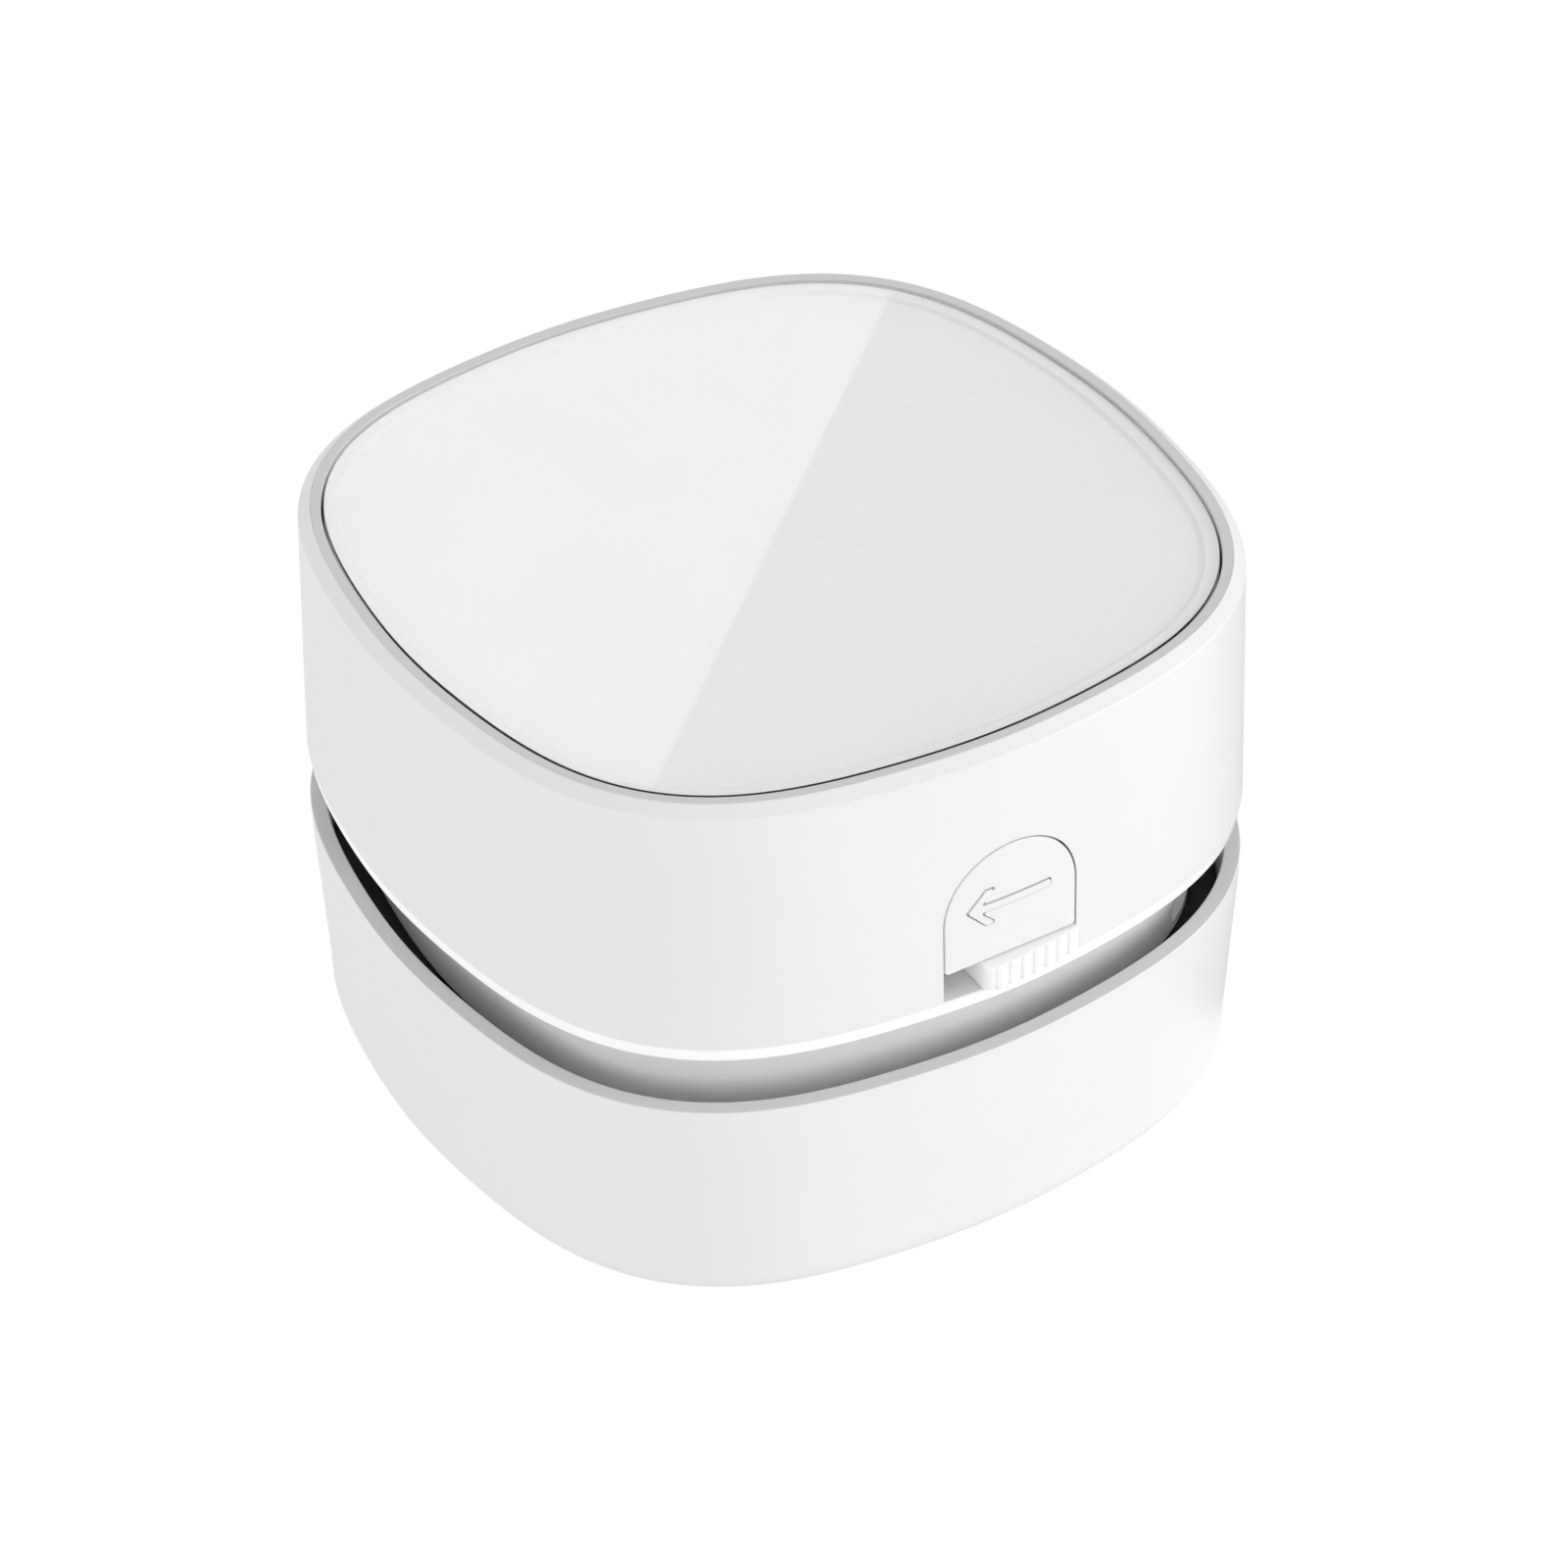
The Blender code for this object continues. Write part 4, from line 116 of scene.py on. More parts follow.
def rounded(corners, closed=True, steps=6):
    """Profile of straight runs whose corners are turned into arcs. Each corner is (a, b, radius); the arc
    is tangent to both runs, its points spread evenly over the turn."""
    points = np.array([c[:2] for c in corners], float)
    radii = [c[2] if len(c) > 2 else 0.0 for c in corners]
    count = len(points)
    made = []
    for k in range(count):
        here = points[k]
        ends = (k == 0 or k == count - 1) and not closed
        if radii[k] <= 0 or ends:
            made.append(here[None])
            continue
        back, ahead = points[k - 1] - here, points[(k + 1) % count] - here
        long_back, long_ahead = np.linalg.norm(back), np.linalg.norm(ahead)
        back, ahead = back / long_back, ahead / long_ahead
        half = math.acos(float(np.clip(back @ ahead, -1, 1))) / 2
        reach = min(radii[k] / math.tan(half), 0.49 * long_back, 0.49 * long_ahead)
        radius = reach * math.tan(half)
        centre = here + (back + ahead) / np.linalg.norm(back + ahead) * radius / math.sin(half)
        start, end = here + back * reach - centre, here + ahead * reach - centre
        turn = math.pi - 2 * half
        share = np.linspace(0, 1, steps + 1)[:, None]
        arc = np.sin((1 - share) * turn) * start + np.sin(share * turn) * end
        made.append(centre + arc / math.sin(turn))
    return np.concatenate(made)


def full_turn(count=FINE):
    """Equal angles round a full turn, the last one left open."""
    return np.arange(count) * 2 * math.pi / count


def on_circle(radius, degrees):
    """Plan point on a circle about the part's axis."""
    return radius * np.array([math.cos(math.radians(degrees)), math.sin(math.radians(degrees))])


def outline_rings(profile, count=FINE):
    """One ring of the plan outline for each (offset, height) of a profile."""
    profile = np.asarray(profile, float)
    angles = np.broadcast_to(full_turn(count), (len(profile), count))
    plan = outline(np.broadcast_to(profile[:, :1], angles.shape), angles)
    return np.dstack([plan, np.broadcast_to(profile[:, 1:2], angles.shape)])


def circle_rings(profile, count=96, centre=(0.0, 0.0)):
    """One circle for each (radius, height) of a profile."""
    profile = np.asarray(profile, float)
    angles = np.broadcast_to(full_turn(count), (len(profile), count))
    x = centre[0] + profile[:, :1] * np.cos(angles)
    y = centre[1] + profile[:, :1] * np.sin(angles)
    return np.dstack([x, y, np.broadcast_to(profile[:, 1:2], angles.shape)])


# Meshes.

def loft(rings, closed=False, caps=False):
    """Quads between neighbouring rings of equal length. A closed loft joins its last ring to its first;
    capped ends get one flat face each."""
    rings = np.asarray(rings, float)
    rows, count = rings.shape[:2]
    verts = rings.reshape(-1, 3)
    grid = np.arange(rows * count).reshape(rows, count)
    if closed:
        grid = np.vstack([grid, grid[:1]])
    low, high = grid[:-1], grid[1:]
    quads = np.stack([low, np.roll(low, -1, 1), np.roll(high, -1, 1), high], -1).reshape(-1, 4)
    faces = quads.tolist()
    if caps:
        faces += [grid[0][::-1].tolist(), grid[-1].tolist()]
    return verts, faces


def prism(outline_points, low, high, bevel=0.0, steps=3):
    """Extrusion along Z of a closed outline, its two end edges rounded: near an end the outline is drawn
    in towards its own middle by the bevel's arc."""
    points = np.asarray(outline_points, float)
    ahead = np.roll(points, -1, 0) - points
    normal = np.stack([ahead[:, 1], -ahead[:, 0]], -1)
    normal /= np.maximum(np.linalg.norm(normal, axis=1, keepdims=True), 1e-9)
    normal = normal + np.roll(normal, 1, 0)
    normal /= np.maximum(np.linalg.norm(normal, axis=1, keepdims=True), 1e-9)
    turn = np.linspace(0, math.pi / 2, steps + 1) if bevel else np.array([math.pi / 2])
    inset = bevel * (1 - np.sin(turn))
    rise = bevel * (1 - np.cos(turn))
    levels = list(zip(inset, low + rise)) + list(zip(inset[::-1], high - rise[::-1]))
    rings = [np.column_stack([points - i * normal, np.full(len(points), z)]) for i, z in levels]
    return loft(rings, caps=True)


def rounded_rectangle(x0, x1, y0, y1, radius, steps=5):
    """Closed outline of a rectangle with arcs for corners."""
    corners = [(x0, y0, radius), (x1, y0, radius), (x1, y1, radius), (x0, y1, radius)]
    return rounded(corners, steps=steps)


def joined(*parts):
    """Several (points, faces) pairs as one."""
    verts, faces, start = [], [], 0
    for points, quads in parts:
        verts.append(np.asarray(points, float))
        faces += [[v + start for v in face] for face in quads]
        start += len(points)
    return np.concatenate(verts), faces


def swung(part, degrees, axis="z"):
    """A part turned about the frame's Z or Y axis."""
    points, faces = part
    c, s = math.cos(math.radians(degrees)), math.sin(math.radians(degrees))
    turn = {"z": [[c, -s, 0], [s, c, 0], [0, 0, 1]], "y": [[c, 0, s], [0, 1, 0], [-s, 0, c]]}[axis]
    return np.asarray(points) @ np.array(turn).T, faces


def moved(part, shift):
    """A part shifted by a vector."""
    return np.asarray(part[0]) + np.asarray(shift, float), part[1]


def mesh_of(name, part):
    """Mesh object from points in millimetres, faces turned outward."""
    points, faces = part
    mesh = bpy.data.meshes.new(name)
    mesh.from_pydata((np.asarray(points) * MM).tolist(), [], faces)
    shape = bmesh.new()
    shape.from_mesh(mesh)
    bmesh.ops.recalc_face_normals(shape, faces=shape.faces)
    shape.to_mesh(mesh)
    shape.free()
    made = bpy.data.objects.new(name, mesh)
    bpy.context.scene.collection.objects.link(made)
    return made


def applied(piece):
    """The piece with its modifiers turned into its mesh."""
    deps = bpy.context.evaluated_depsgraph_get()
    mesh = bpy.data.meshes.new_from_object(piece.evaluated_get(deps))
    piece.modifiers.clear()
    piece.data = mesh
    return piece


def combined(piece, others, operation):
    """The piece after Booleans with other meshes, which are then removed."""
    for other in others:
        step = piece.modifiers.new("boolean", "BOOLEAN")
        step.operation, step.object, step.solver = operation, other, "EXACT"
    applied(piece)
    for other in others:
        bpy.data.objects.remove(other)
    return piece


def finished(piece, body, material, replaces=(), sharp=32.0):
    """Shades a piece smooth with sharp edges kept and its flat faces flat, gives it its material and ties it
    to its body."""
    piece.data.shade_smooth()
    piece.data.set_sharp_from_angle(angle=math.radians(sharp))
    step = piece.modifiers.new("weighted", "WEIGHTED_NORMAL")
    step.keep_sharp = True
    step.weight = 100
    applied(piece)
    piece.data.materials.clear()
    piece.data.materials.append(material)
    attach(piece, body)
    if replaces:
        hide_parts(*replaces)
    return piece


def built(name, part, body, material, replaces=(), sharp=32.0):
    """A finished piece straight from its points and faces."""
    return finished(mesh_of(name, part), body, material, replaces, sharp)


# Materials.

# Size of the colour's clouds in millimetres and strength of every bump.
CLOUD, BUMP = 14.0, 0.35


def linear(colour):
    """Linear colour of an sRGB hex value."""
    parts = np.array([int(colour[k:k + 2], 16) for k in (0, 2, 4)]) / 255
    return (*np.where(parts <= 0.04045, parts / 12.92, ((parts + 0.055) / 1.055) ** 2.4), 1.0)


def add(tree, kind, values=None, links=None, **settings):
    """Adds a node with its settings, its socket values and its incoming links."""
    made = tree.nodes.new(kind)
    for key, value in settings.items():
        setattr(made, key, value)
    for key, value in (values or {}).items():
        made.inputs[key].default_value = value
    for key, source in (links or {}).items():
        tree.links.new(source, made.inputs[key])
    return made


def finish_of(name, light, dark, rough, grain, depth, metal=0.0, ior=1.5, spread=0.06, stretch=(1, 1, 1),
              clear=0.0):
    """One material. A cloudy noise drifts its colour between two tones, a fine noise whose grain is the
    real texture's size in millimetres drives its roughness and a bump of the given depth."""
    material = bpy.data.materials.new(name)
    material.use_nodes = True
    tree = material.node_tree
    shader = tree.nodes["Principled BSDF"]
    for key, value in {"Metallic": metal, "IOR": ior, "Transmission Weight": clear}.items():
        shader.inputs[key].default_value = value
    place = add(tree, "ShaderNodeTexCoord").outputs["Object"]
    place = add(tree, "ShaderNodeMapping", {"Scale": stretch}, {"Vector": place}).outputs["Vector"]
    cloud = add(tree, "ShaderNodeTexNoise", {"Scale": 1 / (CLOUD * MM), "Detail": 3.0}, {"Vector": place})
    fine = add(tree, "ShaderNodeTexNoise", {"Scale": 1 / (grain * MM), "Detail": 2.0}, {"Vector": place})
    tone = add(tree, "ShaderNodeMix", {"A": linear(light), "B": linear(dark)},
               {"Factor": cloud.outputs["Fac"]}, data_type="RGBA")
    tree.links.new(tone.outputs["Result"], shader.inputs["Base Color"])
    gloss = add(tree, "ShaderNodeMapRange", {"To Min": max(rough - spread, 0.0), "To Max": rough + spread},
                {"Value": fine.outputs["Fac"]})
    tree.links.new(gloss.outputs["Result"], shader.inputs["Roughness"])
    bump = add(tree, "ShaderNodeBump", {"Strength": BUMP, "Distance": depth * MM},
               {"Height": fine.outputs["Fac"]})
    tree.links.new(bump.outputs["Normal"], shader.inputs["Normal"])
    return material


def banded(material, start, end, colour, rough):
    """The material with another tone and roughness beyond a height: both fade in between two heights in
    millimetres, upwards or downwards."""
    tree = material.node_tree
    shader = tree.nodes["Principled BSDF"]
    place = add(tree, "ShaderNodeTexCoord").outputs["Object"]
    height = add(tree, "ShaderNodeSeparateXYZ", None, {0: place}).outputs["Z"]
    share = add(tree, "ShaderNodeMapRange", {"From Min": start * MM, "From Max": end * MM}, {"Value": height})
    tone = add(tree, "ShaderNodeMix", {"B": linear(colour)},
               {"Factor": share.outputs["Result"], "A": shader.inputs["Base Color"].links[0].from_socket},
               data_type="RGBA")
    gloss = add(tree, "ShaderNodeMix", {"B": rough},
                {"Factor": share.outputs["Result"], "A": shader.inputs["Roughness"].links[0].from_socket})
    tree.links.new(tone.outputs["Result"], shader.inputs["Base Color"])
    tree.links.new(gloss.outputs["Result"], shader.inputs["Roughness"])
    return material


# Injection-moulded ABS, satin from a fine spark-eroded mould: soft broad highlights, faint grain.
SATIN_WHITE = ("EBEBEB", "E7E7E7", 0.42, 0.35, 0.012)
ABS_SHELL = finish_of("ABS satin white shell", *SATIN_WHITE)
# The tray is the brightest moulding, polished so that it shines through the panel.
ABS_TRAY = finish_of("ABS polished white tray", "FAFAFA", "F7F7F7", 0.25, 0.5, 0.004)
# The slider is a separate, whiter shot of the same plastic.
ABS_SLIDER = finish_of("ABS satin white slider", "FCFCFC", "F9F9F9", 0.4, 0.35, 0.012)
# Below the wall's start the housing's foot is painted pure white, a painted highlight along that edge, and is
# also smoother.
ABS_HOUSING_PAINTED_FOOT_HIGHLIGHT = banded(finish_of("ABS satin white housing", *SATIN_WHITE), WALL_LOW, 32.2, "FFFFFF", 0.22)
# The top face of the bin's rim, in the gap under the housing, is painted greyer as painted shade, and it is
# fully matt.
ABS_BIN_PAINTED_RIM_SHADE = banded(finish_of("ABS satin white bin", *SATIN_WHITE), 24.76, 24.79, "E2E2E2", 0.7)
# The same ABS in light grey, for the ring round the panel.
ABS_TRIM = finish_of("ABS satin grey trim", "D6D6D6", "D1D1D1", 0.45, 0.35, 0.012)
# ABS of the neck, a coarser mould that nobody polishes, so it stays matt.
ABS_NECK = finish_of("ABS matt neck", "E4E4E4", "DEDEDE", 0.6, 0.45, 0.02)
# White polypropylene of the inner mouldings: slightly waxy.
POLYPROPYLENE = finish_of("polypropylene white", "EFEFED", "E9E9E6", 0.5, 0.5, 0.015, ior=1.49)
# Glass-filled nylon in charcoal: matt with a dull sparkle.
NYLON_DARK = finish_of("nylon charcoal", "343538", "2A2B2D", 0.56, 0.4, 0.03)
# Polished clear acrylic: sharp reflections and nothing of its own colour.
ACRYLIC = finish_of("acrylic clear polished", "FFFFFF", "FDFDFD", 0.02, 2.0, 0.0, ior=1.49, spread=0.01,
                    clear=1.0)
# Soft silicone rubber: dark and almost without shine.
RUBBER_SEAL = finish_of("silicone black seal", "202020", "1A1A1A", 0.8, 0.3, 0.03)
RUBBER_FOOT = finish_of("rubber grey feet", "4E4E4E", "454545", 0.88, 0.3, 0.04)
# Nylon filament of the brush: thin, grey and faintly shiny.
BRISTLE = finish_of("nylon filament bristle", "7C7C7C", "5E5E5E", 0.5, 0.2, 0.02, stretch=(1, 1, 0.2))
# Pleated filter paper: fibrous and fully matt.
PAPER = finish_of("filter paper pleated", "ECE9DF", "E0DCCF", 0.95, 0.25, 0.06)
# Zinc-plated steel of screws, pin and shaft.
ZINC_STEEL = finish_of("zinc plated steel", "C2C5C9", "B0B3B8", 0.34, 0.15, 0.01, metal=1.0)
# Drawn spring wire, its marks run along the coil.
SPRING_WIRE = finish_of("drawn spring wire", "A4A7AB", "94979B", 0.3, 0.15, 0.01, metal=1.0)
# Deep-drawn motor can: fine streaks up its wall.
DRAWN_CAN = finish_of("deep drawn steel can", "CCCED0", "BCBEC1", 0.3, 0.2, 0.01, metal=1.0,
                      stretch=(1, 1, 0.08))
# Sintered bronze of the bushings.
BRONZE = finish_of("sintered bronze", "B8945C", "A07E49", 0.42, 0.12, 0.03, metal=1.0)
# Pressed ferrite, dull and slightly open-grained.
FERRITE = finish_of("pressed ferrite", "414144", "343436", 0.62, 0.18, 0.04)
# Stacked iron sheets with lacquered winding wire.
LAMINATED_IRON = finish_of("laminated iron", "8A8378", "756D60", 0.48, 0.35, 0.05, metal=1.0,
                           stretch=(0.05, 0.05, 1))
# Heat-shrunk film over the cell: smooth with shallow ripples.
SHRINK_FILM = finish_of("heat shrunk film", "537EB0", "4A729E", 0.32, 1.6, 0.06)
# Nickel-plated strip and socket shell.
NICKEL = finish_of("nickel plated strip", "CFCCC4", "BFBBB2", 0.28, 0.15, 0.01, metal=1.0)
# Solder-masked fibreglass board.
SOLDER_MASK = finish_of("solder masked board", "33724B", "2A613F", 0.4, 0.6, 0.02)
# Epoxy-moulded chip and switch bodies.
EPOXY = finish_of("moulded epoxy", "29292B", "202022", 0.52, 0.15, 0.02)
# PVC insulation of the leads.
PVC_BLACK = finish_of("PVC black lead", "202021", "19191A", 0.5, 0.3, 0.01)
PVC_RED = finish_of("PVC red lead", "B0382F", "9E2F29", 0.5, 0.3, 0.01)

BY_SLOT = {
    "white_shell": ABS_SHELL, "trim_grey": ABS_TRIM, "clear_panel": ACRYLIC, "white_inner": POLYPROPYLENE,
    "neck_white": ABS_NECK, "seal_rubber": RUBBER_SEAL, "foot_rubber": RUBBER_FOOT,
    "dark_plastic": NYLON_DARK, "filter_paper": PAPER, "bristle_nylon": BRISTLE, "steel": ZINC_STEEL,
    "spring_steel": SPRING_WIRE, "motor_steel": DRAWN_CAN, "bronze": BRONZE, "magnet": FERRITE,
    "core_steel": LAMINATED_IRON, "cell_wrap": SHRINK_FILM, "nickel": NICKEL, "board_green": SOLDER_MASK,
    "chip_black": EPOXY, "lead_black": PVC_BLACK, "lead_red": PVC_RED,
}
for row in frame["record"]["subparts"]:
    node = NODES[row["node"]]
    node.data.materials.clear()
    node.data.materials.append(BY_SLOT[row["material_slot"]])


# Dust bin, its base and brush.

def dust_bin():
    """Lower shell: one closed profile carried round the plan. It runs along the base's hole, recess and
    rounded foot, up the swelling wall, over the rim, down the inside and over the floor to the boss."""
    fine = np.linspace(0.0, 1.0, 25)
    rise = np.interp(fine, [0.0, 0.5, 0.86, 1.0], [0.0, 0.45, 0.8, 0.84])
    outer = [(1.45 + rise[k], 4.5 + fine[k] * 20.0) for k in range(25)]
    hole, recess, boss = 8.9, 23.3, 25.0
    under = rounded([(hole, 2.9), (recess, 2.9, 0.3), (recess, BIN_LOW, 0.4), (recess + 4.0, BIN_LOW)],
                    closed=False)
    foot = rounded([(-8.0, BIN_LOW), (1.45, BIN_LOW, 3.3), outer[1]], closed=False, steps=14)
    rim = rounded([outer[-2], (2.3, BIN_RIM, 0.12), (0.65, BIN_RIM, 0.2), (0.6, 21.0)], closed=False)
    inside = rounded([(0.28, 14.0), (-0.15, 2.6, 1.6), (-6.0, 2.6)], closed=False, steps=8)
    floor = rounded([(boss + 3.0, 2.6), (boss, 2.6, 0.4), (boss, 4.4, 0.4), (hole, 4.4)], closed=False)
    rings = np.concatenate([circle_rings(under, FINE), outline_rings(foot), outline_rings(outer[2:-2]),
                            outline_rings(rim), outline_rings(inside), circle_rings(floor, FINE)])
    shell = loft(rings, closed=True)
    extras = []
    for degrees in (0.0, 90.0, 180.0, 238.0, 302.0):
        wall = float(np.hypot(*outline(np.array([-0.15]), np.radians([degrees]))[0]))
        rib = rounded_rectangle(wall - 4.6, wall + 0.8, -0.8, 0.8, 0.3)
        extras.append(swung(prism(rib, 2.4, 17.4, 0.25), degrees))
    ledge = rounded_rectangle(0.08, 3.08, -41.0, -36.94, 0.25)
    extras.append(prism(ledge, 15.6, 17.1, 0.2))
    return joined(shell, *extras)


built("bin_shell", dust_bin(), "dust_bin", ABS_BIN_PAINTED_RIM_SHADE, ("dust_bin",))


def foot(degrees):
    """Round pad: a shallow dome on a cylinder, with a rounded edge."""
    profile = rounded([(3.2, 0.0), (4.0, 0.0, 0.3), (4.0, 1.2, 0.1), (3.0, 1.2)], closed=False)
    return loft(circle_rings(profile, 64, on_circle(FOOT_CIRCLE, degrees)), caps=True)


for number, degrees in enumerate(CORNERS, 1):
    built(f"foot_pad_{number}", foot(degrees), "dust_bin", RUBBER_FOOT,
          (f"bin_foot_{number}",))


def duct():
    """Suction duct: a turned tube with a flared mouth and a flange, and two ears with round tops."""
    profile = rounded([(7.0, 1.3, 0.5), (8.6, 1.3, 0.4), (8.6, 4.7, 0.1), (13.6, 4.7, 0.2), (13.6, 5.6, 0.3),
                       (8.6, 5.6, 0.3), (8.6, 6.6, 0.3), (7.0, 6.6, 0.4)])
    ears = []
    for side in (-1, 1):
        ear = rounded([(8.9, 5.2), (11.9, 5.2), (11.9, 8.75, 1.4), (8.9, 8.75, 1.4)], steps=8)
        points, faces = prism(ear, 0.0, 1.6, 0.15)
        ears.append((np.column_stack([points[:, 2] - 0.8 + side * 6.1, points[:, 0], points[:, 1]]), faces))
    return joined(loft(circle_rings(profile), closed=True), *ears)


built("duct_tube", duct(), "dust_bin", POLYPROPYLENE, ("suction_duct",))


def flap():
    """Flap: a thin dished disc with a rounded edge, an arm and a knuckle that runs along X."""
    disc = rounded([(2.0, 6.9), (9.0, 6.9, 0.3), (9.0, 7.6, 0.3), (2.0, 7.6)], closed=False)
    arm = prism(rounded_rectangle(-4.0, 4.0, 7.0, 10.4, 0.4), 6.92, 7.58, 0.1)
    knuckle = circle_rings([(1.1, -5.0), (1.1, 5.0)], 40)
    points, faces = loft(knuckle, caps=True)
    return joined(loft(circle_rings(disc), caps=True), arm,
                  (np.column_stack([points[:, 2], points[:, 0] + 10.4, points[:, 1] + 7.25]), faces))


built("flap_disc", flap(), "suction_flap", NYLON_DARK, ("suction_flap",))


def brush_ring():
    """Brush base: a flat turned ring with a groove on its underside."""
    profile = rounded([(8.9, 2.6, 0.1), (8.9, 1.6, 0.2), (18.2, 1.6, 0.1), (18.2, 2.2, 0.0), (21.8, 2.2, 0.0),
                       (21.8, 1.6, 0.1), (23.0, 1.6, 0.25), (23.0, 2.6, 0.1)])
    return loft(circle_rings(profile, 144), closed=True)


def bristles():
    """Tufts in two staggered rows round the groove: each is a bundle of tapered six-sided filaments that
    lean outward a little towards their tips, all worked out as one array. They stand in a flat ring."""
    random = np.random.default_rng(7)
    tufts, filaments, sides, top = 108, 9, 6, 2.1
    angle = np.repeat(np.arange(tufts) * 2 * math.pi / tufts, filaments)
    row = np.repeat(np.where(np.arange(tufts) % 2, 19.35, 20.65), filaments)
    spread = random.uniform(0, 2 * math.pi, tufts * filaments)
    away = 0.42 * np.sqrt(random.uniform(0, 1, tufts * filaments))
    root = np.stack([row * np.cos(angle) + away * np.cos(spread),
                     row * np.sin(angle) + away * np.sin(spread)], -1)
    lean = random.normal(0, 0.12, root.shape) + 0.14 * root / np.linalg.norm(root, axis=1, keepdims=True)
    tip_z = random.uniform(0.16, 0.3, len(root))
    side = full_turn(sides)
    ring = np.stack([np.cos(side), np.sin(side)], -1)
    share = np.array([0.0, 0.5, 1.0])
    centre = root[:, None] + lean[:, None] * share[None, :, None]
    thick = np.array([0.13, 0.12, 0.07])
    plan = centre[:, :, None] + thick[None, :, None, None] * ring
    height = top + (tip_z[:, None] - top) * share
    points = np.concatenate([plan, np.broadcast_to(height[:, :, None, None], (*plan.shape[:3], 1))], -1)
    index = np.arange(len(share) * sides).reshape(len(share), sides)
    side_faces = np.stack([index[:-1], np.roll(index[:-1], -1, 1), np.roll(index[1:], -1, 1), index[1:]], -1)
    side_faces = side_faces.reshape(-1, 4)
    start = np.arange(len(root))[:, None, None] * index.size
    faces = (start + side_faces).reshape(-1, 4).tolist()
    faces += (start[:, 0] + index[2]).tolist() + (start[:, 0] + index[0][::-1]).tolist()
    base = rounded([(18.5, 1.35, 0.1), (21.5, 1.35, 0.1), (21.5, 1.9, 0.0), (18.5, 1.9, 0.0)])
    return joined(loft(circle_rings(base, 144), closed=True), (points.reshape(-1, 3), faces))


built("brush_plate", brush_ring(), "dust_bin", POLYPROPYLENE, ("brush_base",))
built("brush_tufts", bristles(), "dust_bin", BRISTLE, ("brush_bristles",))


# Upper housing, trim ring, clear panel and tray.

def arch(half, foot_z, steps=64):
    """Arch of the latch opening in X and Z: straight sides and a half circle on top."""
    turn = np.linspace(0.0, math.pi, steps + 1)
    top = np.column_stack([half * np.cos(turn), ARCH_SPRING + half * np.sin(turn)])
    return np.vstack([[(-half, foot_z), (half, foot_z)], top])


def upright(points, y0, y1):
    """Extrusion along Y of an outline in X and Z."""
    made, faces = prism(points, 0.0, 1.0)
    return np.column_stack([made[:, 0], y0 + (y1 - y0) * made[:, 2], made[:, 1]]), faces


def housing():
    """Upper shell: chamfered foot, leaning wall, chamfered top edge, rebate for the trim ring and the well
    that the panel's tray sits in, as one closed profile round the plan."""
    heights = np.linspace(WALL_LOW, WALL_HIGH, 40)
    wall = np.column_stack([wall_offset(heights), heights])
    crown = rounded([(wall_offset(WALL_HIGH), WALL_HIGH), (wall_offset(CROWN), CROWN, 0.35), (0.1, TOP, 0.04),
                     (0.0, TOP)], closed=False)[1:]
    foot = rounded([(0.4, HOUSING_LOW), (1.93, HOUSING_LOW, 0.2), (wall_offset(WALL_LOW), WALL_LOW)],
                   closed=False)[:-1]
    well = rounded([(0.0, 55.7), (-0.9, 55.7), (-0.9, 51.7, 0.5), (-10.4, 51.7, 0.3), (-10.4, 49.4, 0.3),
                    (-1.0, 49.4, 0.5), (0.35, 31.2, 0.0)])
    return loft(outline_rings(np.vstack([foot, wall, crown, well])), closed=True)


shell = mesh_of("housing_shell", housing())
sill = prism(rounded_rectangle(-7.2, 7.2, SILL_FRONT, -38.95, 0.2), 32.2, 32.9)
combined(shell, [mesh_of("sill", sill)], "UNION")
arch_cut = mesh_of("arch_cut", upright(arch(7.35, 32.53), -46.0, -37.5))
socket_hole = upright(rounded_rectangle(-4.8, 4.8, 43.7, 47.5, 1.88, steps=12), 36.0, 46.0)
combined(shell, [arch_cut, mesh_of("socket_cut", socket_hole)], "DIFFERENCE")
finished(shell, "upper_unit", ABS_HOUSING_PAINTED_FOOT_HIGHLIGHT, ("upper_housing",))

# Bosses for the chassis screws, the guide ribs above the carriage and the post that its spring leans on.
rib_front, post_front = float(front_y(13.85, 38.2, 1.5)), float(front_y(-16.42, 36.4, 1.5))
inner = [prism(rounded_rectangle(-13.85, -8.35, rib_front, CARRIAGE_BACK, 0.2), 36.7, 38.2, 0.1),
         prism(rounded_rectangle(8.35, 13.85, rib_front, CARRIAGE_BACK, 0.2), 36.7, 38.2, 0.1),
         prism(rounded_rectangle(-16.42, -14.92, post_front, CARRIAGE_BACK, 0.2), 32.8, 36.4, 0.1)]
boss = [(1.1, 49.6), (1.1, 35.1), (2.8, 35.1), (3.0, 35.3), (3.0, 49.6)]
for degrees in CORNERS:
    inner.append(loft(circle_rings(boss, 40, on_circle(SCREW_CIRCLE, degrees)), closed=True))
built("housing_bosses", joined(*inner), "upper_unit", ABS_SHELL)

trim = rounded([(-0.15, 56.0), (-0.02, 56.3), (-0.02, TOP), (-1.0, TOP, 0.1), (-1.0, 56.0)])
built("trim_band", loft(outline_rings(trim), closed=True), "upper_unit", ABS_TRIM,
      ("trim_ring",))

# The clear panel: a thin lens that throws no shadow, so the white tray under it stays bright.
panel = rounded([(-12.0, 58.55), (-1.26, 58.55), (-1.26, PANEL_TOP, 0.14), (-2.0, PANEL_TOP),
                 (-12.0, PANEL_TOP)], closed=False)
lens = built("panel_lens", loft(outline_rings(panel), caps=True), "power_plate", ACRYLIC,
             ("clear_panel",))
lens.visible_shadow = False


